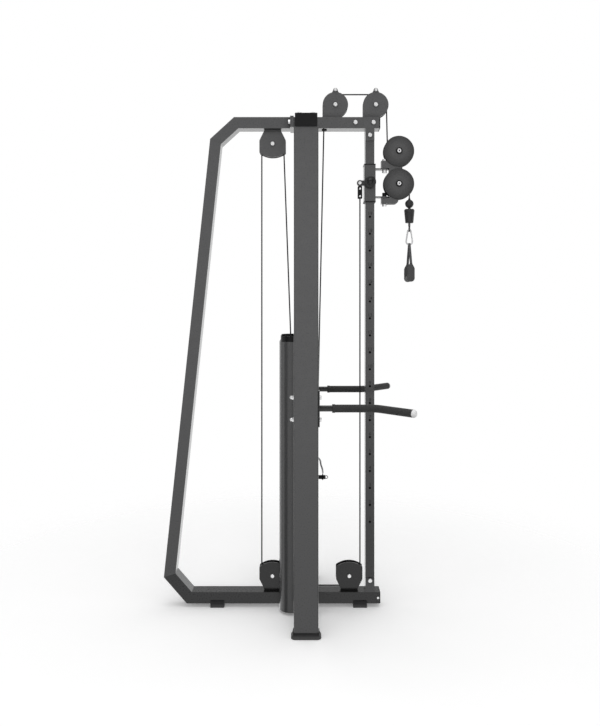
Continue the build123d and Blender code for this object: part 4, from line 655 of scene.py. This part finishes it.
LANYARD_FINISH = moulded_plastic("lanyard_grey", grey(0.30, 0.31), 0.35)


def paint_nodes():
    """Gives each CAD node its own finish, or else that of its slot."""
    slots = {row["node"]: row["material_slot"] for row in frame["record"]["subparts"]}
    for name, node in frame["nodes"].items():
        node.data.materials.clear()
        node.data.materials.append(NODE_FINISHES.get(name, MATERIALS[slots[name]]))


# ---------------------------------------------------------------- mesh helpers

CURVE_STEPS = 24
CURVE_ORDER = 3


def mesh_piece(name, corners, faces, slot, uvs=None, smooth=True, finish=None):
    """A new piece with the finish of the named slot, unless it has its own."""
    mesh = bpy.data.meshes.new(name)
    mesh.from_pydata([tuple(c) for c in corners], [], faces)
    if uvs:
        layer = mesh.uv_layers.new(name="weave")
        for loop in mesh.loops:
            layer.data[loop.index].uv = uvs[loop.vertex_index]
    mesh.validate()
    mesh.polygons.foreach_set("use_smooth", [smooth] * len(mesh.polygons))
    mesh.materials.append(finish or MATERIALS[slot])
    piece = bpy.data.objects.new(name, mesh)
    bpy.context.collection.objects.link(piece)
    return piece


def add_form(corners, faces, more_corners, more_faces):
    """Adds one form to the corners and faces of a piece."""
    base = len(corners)
    corners.extend(more_corners)
    faces.extend(tuple(base + v for v in face) for face in more_faces)


def ring_frames(points):
    """A point, tangent and two normals at each point of a path, without twist."""
    frames = []
    normal = None
    for i, point in enumerate(points):
        before = points[max(i - 1, 0)]
        after = points[min(i + 1, len(points) - 1)]
        tangent = (after - before).normalized()
        if normal is None:
            normal = tangent.orthogonal().normalized()
        normal = (normal - tangent * normal.dot(tangent)).normalized()
        frames.append((point, tangent, normal, tangent.cross(normal)))
    return frames


def ring_of_faces(first, sides):
    """The faces between a ring of corners, from the first, and the next ring."""
    pairs = [(first + k, first + (k + 1) % sides) for k in range(sides)]
    return [(a, b, b + sides, a + sides) for a, b in pairs]


def tube_faces(rings, sides):
    """The faces of a closed tube of so many rings."""
    faces = []
    for i in range(rings - 1):
        faces += ring_of_faces(i * sides, sides)
    faces.append(tuple(reversed(range(sides))))
    last = (rings - 1) * sides
    faces.append(tuple(range(last, last + sides)))
    return faces


def tube(points, radius, sides):
    """Corners and faces of a closed tube along the points."""
    corners = []
    for point, _, one, two in ring_frames(points):
        for k in range(sides):
            angle = 2 * math.pi * k / sides
            corners.append(point + radius * (one * math.cos(angle) + two * math.sin(angle)))
    return corners, tube_faces(len(points), sides)


def line_points(start, end, count):
    """Points evenly spaced from start to end."""
    return [start.lerp(end, i / (count - 1)) for i in range(count)]


def curve_points(route):
    """Points of the smooth NURBS line whose control points are the route's."""
    data = bpy.data.curves.new("route", "CURVE")
    data.dimensions = "3D"
    data.resolution_u = CURVE_STEPS
    spline = data.splines.new("NURBS")
    spline.points.add(len(route) - 1)
    for point, place in zip(spline.points, route):
        point.co = (*place, 1)
    spline.order_u = CURVE_ORDER
    spline.use_endpoint_u = True
    holder = bpy.data.objects.new("route", data)
    bpy.context.collection.objects.link(holder)
    graph = bpy.context.evaluated_depsgraph_get()
    mesh = bpy.data.meshes.new_from_object(holder.evaluated_get(graph))
    points = [v.co.copy() for v in mesh.vertices]
    bpy.data.objects.remove(holder)
    bpy.data.meshes.remove(mesh)
    bpy.data.curves.remove(data)
    return points


def resampled(points, count):
    """Points evenly spaced along a line."""
    lengths = [0.0]
    for a, b in zip(points, points[1:]):
        lengths.append(lengths[-1] + (b - a).length)
    made, i = [], 0
    for k in range(count):
        wanted = lengths[-1] * k / (count - 1)
        while i < len(points) - 2 and lengths[i + 1] < wanted:
            i += 1
        share = (wanted - lengths[i]) / (lengths[i + 1] - lengths[i])
        made.append(points[i].lerp(points[i + 1], share))
    return made


# ---------------------------------------------------------------- lanyard

# Millimetres; the wire and the coil are radii, and the route starts from the posts' middle.
LANYARD_WIRE = 0.9
LANYARD_COIL = 3.0
LANYARD_TURNS = 38
LANYARD_STEPS = 14
LANYARD_EASE_TURNS = 2
LANYARD_SIDES = 8
LANYARD_ROUTE = (
    (28, -15.5, 668),
    (46, -15.5, 668),
    (64, -12.4, 652),
    (66, -7.75, 628),
    (75.5, 0, 604),
    (75.5, 0, 584),
)


def add_lanyard():
    """Curly lanyard from the stack's yoke to the selector knob."""
    route = [at(*place) for place in LANYARD_ROUTE]
    count = LANYARD_TURNS * LANYARD_STEPS
    line = resampled(curve_points(route), count + 1)
    helix = []
    for i, (point, _, one, two) in enumerate(ring_frames(line)):
        ease = min(i, count - i) / (LANYARD_EASE_TURNS * LANYARD_STEPS)
        reach = LANYARD_COIL / 1000 * min(1, ease)
        angle = 2 * math.pi * i / LANYARD_STEPS
        helix.append(point + reach * (one * math.cos(angle) + two * math.sin(angle)))
    corners, faces = tube(helix, LANYARD_WIRE / 1000, LANYARD_SIDES)
    piece = mesh_piece("lanyard_coil", corners, faces, "cable_jacket", finish=LANYARD_FINISH)
    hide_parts("pin_lanyard")
    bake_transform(piece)


add_lanyard()


# ---------------------------------------------------------------- cables

# CABLE_WIRE is a radius in millimetres. CARRIAGE_SHARE is how far up the upright's cable,
# from its foot, the carriage holds it.
CABLE_WIRE = 3.0
CABLE_SIDES = 16
SHORT_CABLE_RINGS = 24
LUG_CABLE_RINGS = 40
STACK_CABLE_RINGS = 80
CARRIAGE_SHARE = 0.35
STACK_SPANS = (
    ("cable_stack_front_span", "rises_right"),
    ("cable_stack_rear_span", "rises_left"),
)


def box_ends(node, lean="upright"):
    """The two ends of a straight cable node, from its box and its lean."""
    low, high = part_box(node)
    reach = CABLE_WIRE / 1000
    left, right = low.x + reach, high.x - reach
    if lean == "rises_left":
        left, right = right, left
    return Vector((left, 0, low.z)), Vector((right, 0, high.z))


def cable_mesh(name, low, high, count):
    corners, faces = tube(line_points(low, high, count), CABLE_WIRE / 1000, CABLE_SIDES)
    return mesh_piece(name, corners, faces, "cable_jacket")


def add_cables():
    """The cables' straight spans, as round tubes in place of their nodes."""
    low, high = box_ends("cable_handle_drop")
    piece = cable_mesh("handle_drop_cable", low, high, SHORT_CABLE_RINGS)
    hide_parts("cable_handle_drop")
    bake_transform(piece)

    low, high = box_ends("cable_lug_span")
    piece = cable_mesh("lug_cable", low, high, LUG_CABLE_RINGS)
    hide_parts("cable_lug_span")
    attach(piece, "frame")
    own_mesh(piece)

    for node, lean in STACK_SPANS:
        low, high = box_ends(node, lean)
        piece = cable_mesh(node.replace("cable_", "") + "_cable", low, high, STACK_CABLE_RINGS)
        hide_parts(node)
        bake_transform(piece)

    low, high = box_ends("cable_upright_span", "rises_left")
    split = low.lerp(high, CARRIAGE_SHARE)
    upper = cable_mesh("upright_cable", split, high, SHORT_CABLE_RINGS)
    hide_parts("cable_upright_span")
    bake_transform(upper)
    lower = cable_mesh("upright_cable_lower", low, split, SHORT_CABLE_RINGS)
    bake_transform(lower)


add_cables()


# ---------------------------------------------------------------- strap

# Metres, apart from the counts, powers and shares.
WEB_THICKNESS = 0.003
WEB_LEG_HALF = 0.0055
WEB_SHOULDER = 0.028
WEB_PAD = 0.085
WEB_BEND = 0.0057
WEB_FOLD = 0.0093
WEB_INSET = 0.002
WEB_LIFT = 0.0004
WEB_SECTION = 20
WEB_SIDE_POWER, WEB_FACE_POWER = 0.4, 0.6
PAD_POINTS, LEG_POINTS, BEND_STEPS = 24, 30, 10
WEB_RINGS = 181
WEB_SMOOTHINGS = 3
STITCH = 0.0026
STITCH_STEP = 0.0037
STITCH_INSET = 0.003
STITCH_BOW = 0.0002
STITCH_START_SHARE = 0.6
STITCH_STOP = WEB_PAD - 0.004
THREAD_RADIUS = 0.00035
THREAD_SIDES = 6


def strap_line():
    """Middle line of the webbing from one pad's foot, over the hook, to the other's."""
    low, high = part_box("strap")
    x, spread, hook = (low.x + high.x) / 2, high.y - WEB_INSET, high.z - WEB_FOLD
    foot = Vector((x, -spread, low.z + WEB_LIFT))
    side = line_points(foot, Vector((x, -spread, low.z + WEB_PAD)), PAD_POINTS)
    side += line_points(side[-1], Vector((x, -WEB_BEND, hook)), LEG_POINTS)[1:]
    turns = [math.pi * k / BEND_STEPS for k in range(1, BEND_STEPS)]
    bend = [Vector((x, -WEB_BEND * math.cos(a), hook + WEB_BEND * math.sin(a))) for a in turns]
    other = [Vector((p.x, -p.y, p.z)) for p in reversed(side)]
    line = resampled(side + bend + other, WEB_RINGS)
    for _ in range(WEB_SMOOTHINGS):
        middle = [(a + b * 2 + c) / 4 for a, b, c in zip(line, line[1:], line[2:])]
        line = [line[0], *middle, line[-1]]
    return line, (high.x - low.x) / 2


def strap_half(reach, wide):
    """Half the webbing's width at a distance from the pad's foot."""
    if reach < wide:
        return math.sqrt(wide ** 2 - (wide - reach) ** 2)
    share = min(1, max(0, (reach - WEB_PAD + WEB_SHOULDER) / WEB_SHOULDER))
    ease = share * share * (3 - 2 * share)
    return wide + (WEB_LEG_HALF - wide) * ease


def add_strap():
    """Webbing strap folded over the hook, with a round pad beside each end of the grip."""
    line, wide = strap_line()
    step = (line[1] - line[0]).length
    across = Vector((1, 0, 0))
    angles = [2 * math.pi * k / WEB_SECTION for k in range(WEB_SECTION)]
    corners, uvs, outer = [], [], []
    last = len(line) - 1
    for i, (point, tangent, _, _) in enumerate(ring_frames(line)):
        reach = min(i, last - i) * step + WEB_LIFT
        half = strap_half(reach, wide)
        out = tangent.cross(across)
        outer.append((reach, half, point, tangent, out))
        for c, s in ((math.cos(a), math.sin(a)) for a in angles):
            side = half * math.copysign(abs(c) ** WEB_SIDE_POWER, c)
            lift = WEB_THICKNESS / 2 * math.copysign(abs(s) ** WEB_FACE_POWER, s)
            corners.append(point + across * side + out * lift)
            uvs.append((side, i * step))
    faces = tube_faces(len(line), WEB_SECTION)
    piece = mesh_piece("strap_webbing", corners, faces, "webbing", uvs)
    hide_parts("strap")
    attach(piece, "strap")
    add_stitches(outer, wide, step)


def add_stitches(outer, wide, step):
    """A row of thread down each side of each pad, on both of its faces."""
    corners, faces = [], []
    gap = max(1, round(STITCH_STEP / step))
    for reach, half, point, tangent, out in outer[::gap]:
        if not wide * STITCH_START_SHARE < reach < STITCH_STOP:
            continue
        for side in (-1, 1):
            for face in (-1, 1):
                inset = Vector((side * (half - STITCH_INSET), 0, 0))
                middle = point + inset + out * face * WEB_THICKNESS / 2
                lift = out * face * STITCH_BOW
                bow = [middle - tangent * STITCH / 2, middle + lift, middle + tangent * STITCH / 2]
                add_form(corners, faces, *tube(bow, THREAD_RADIUS, THREAD_SIDES))
    piece = mesh_piece("strap_stitches", corners, faces, "webbing", finish=THREAD_FINISH)
    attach(piece, "strap")


add_strap()


# ---------------------------------------------------------------- swivel details

# Metres; a profile's rows are a radius and how far it stands out.
RING_INNER = 0.0094
RING_OUTER = 0.0142
RING_PROUD = 0.0014
RING_WALL = 0.0008
RING_OUTER_CHAMFER, RING_INNER_CHAMFER = 0.0008, 0.0006
RING_STEPS = 48
RING_PROFILE = (
    (RING_OUTER, 0),
    (RING_OUTER, RING_WALL),
    (RING_OUTER - RING_OUTER_CHAMFER, RING_PROUD),
    (RING_INNER + RING_INNER_CHAMFER, RING_PROUD),
    (RING_INNER, RING_WALL),
    (RING_INNER, 0),
)
SOCKET_RADIUS = 0.0030
SOCKET_RIM = 0.0008
SOCKET_FLOOR_SHARE = 0.8
SOCKET_SIDES = 6
SOCKET_PROFILE = (
    (SOCKET_RADIUS + SOCKET_RIM, 0),
    (SOCKET_RADIUS, 0.0003),
    (SOCKET_RADIUS * SOCKET_FLOOR_SHARE, 0.0002),
)


def turned_form(middle, out, profile, sides, cap=False):
    """A turned form about the Y axis: the profile is radius and reach pairs, from its back."""
    corners, faces = [], []
    for radius, reach in profile:
        for k in range(sides):
            a = 2 * math.pi * (k + 0.5) / sides
            spoke = Vector((radius * math.cos(a), out * reach, radius * math.sin(a)))
            corners.append(middle + spoke)
    for i in range(len(profile) - 1):
        faces += ring_of_faces(i * sides, sides)
    if cap:
        last = (len(profile) - 1) * sides
        faces.append(tuple(range(last, last + sides)))
    return corners, faces


def add_swivel_details():
    """Black hub rings and hexagon sockets at both ends of the swivel's two axles."""
    cover_low, cover_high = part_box("swivel_covers")
    axle_low, axle_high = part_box("swivel_axles")
    x = (axle_low.x + axle_high.x) / 2
    ends = ((-1, cover_low.y, axle_low.y), (1, cover_high.y, axle_high.y))
    rings, sockets = ([], []), ([], [])
    for z in swivel_axle_heights():
        for out, face, head in ends:
            ring = turned_form(Vector((x, face, z)), out, RING_PROFILE, RING_STEPS)
            add_form(*rings, *ring)
            socket = turned_form(Vector((x, head, z)), out, SOCKET_PROFILE, SOCKET_SIDES, cap=True)
            add_form(*sockets, *socket)
    for name, (corners, faces) in (("hub_rings", rings), ("axle_sockets", sockets)):
        piece = mesh_piece(
            name, corners, faces, "black_plastic", smooth=False, finish=RING_FINISH
        )
        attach(piece, "swivel")


add_swivel_details()


# ---------------------------------------------------------------- hole numbers

# Millimetres, apart from the count, the size and the boldness.
NUMBER_COUNT = 21
NUMBER_PITCH = 75.5
NUMBER_X = 285
TOP_NUMBER_Z = 1903
NUMBER_HEIGHT = 15
NUMBER_SIZE_PER_HEIGHT = 1.38
NUMBER_PROUD = 0.15
NUMBER_BOLDNESS = 0.0004


def number_mesh(label, place):
    """The mesh of one number that faces -Y, with its middle at the place."""
    text = bpy.data.curves.new("number", "FONT")
    text.body = label
    text.size = NUMBER_HEIGHT / 1000 * NUMBER_SIZE_PER_HEIGHT
    text.align_x = "CENTER"
    text.align_y = "CENTER"
    text.extrude = NUMBER_PROUD / 2000
    text.offset = NUMBER_BOLDNESS
    holder = bpy.data.objects.new("number", text)
    holder.location = place
    holder.rotation_euler = (math.pi / 2, 0, 0)
    bpy.context.collection.objects.link(holder)
    bpy.context.view_layer.update()
    graph = bpy.context.evaluated_depsgraph_get()
    mesh = bpy.data.meshes.new_from_object(holder.evaluated_get(graph))
    mesh.transform(holder.matrix_world)
    bpy.data.objects.remove(holder)
    bpy.data.curves.remove(text)
    return mesh


def add_numbers():
    """Numbers printed beside the upright's holes, counted from the bottom."""
    low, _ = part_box("front_upright")
    x, y = at(NUMBER_X, 0, 0).x, low.y - NUMBER_PROUD / 2000
    corners, faces = [], []
    for i in range(NUMBER_COUNT):
        place = Vector((x, y, (TOP_NUMBER_Z - NUMBER_PITCH * i) / 1000))
        mesh = number_mesh(str(NUMBER_COUNT - i), place)
        points = [v.co.copy() for v in mesh.vertices]
        add_form(corners, faces, points, [tuple(p.vertices) for p in mesh.polygons])
        bpy.data.meshes.remove(mesh)
    piece = mesh_piece(
        "upright_numbers", corners, faces, "black_plastic", smooth=False, finish=NUMBER_FINISH
    )
    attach(piece, "frame")


add_numbers()


# ---------------------------------------------------------------- paint and finish

paint_nodes()
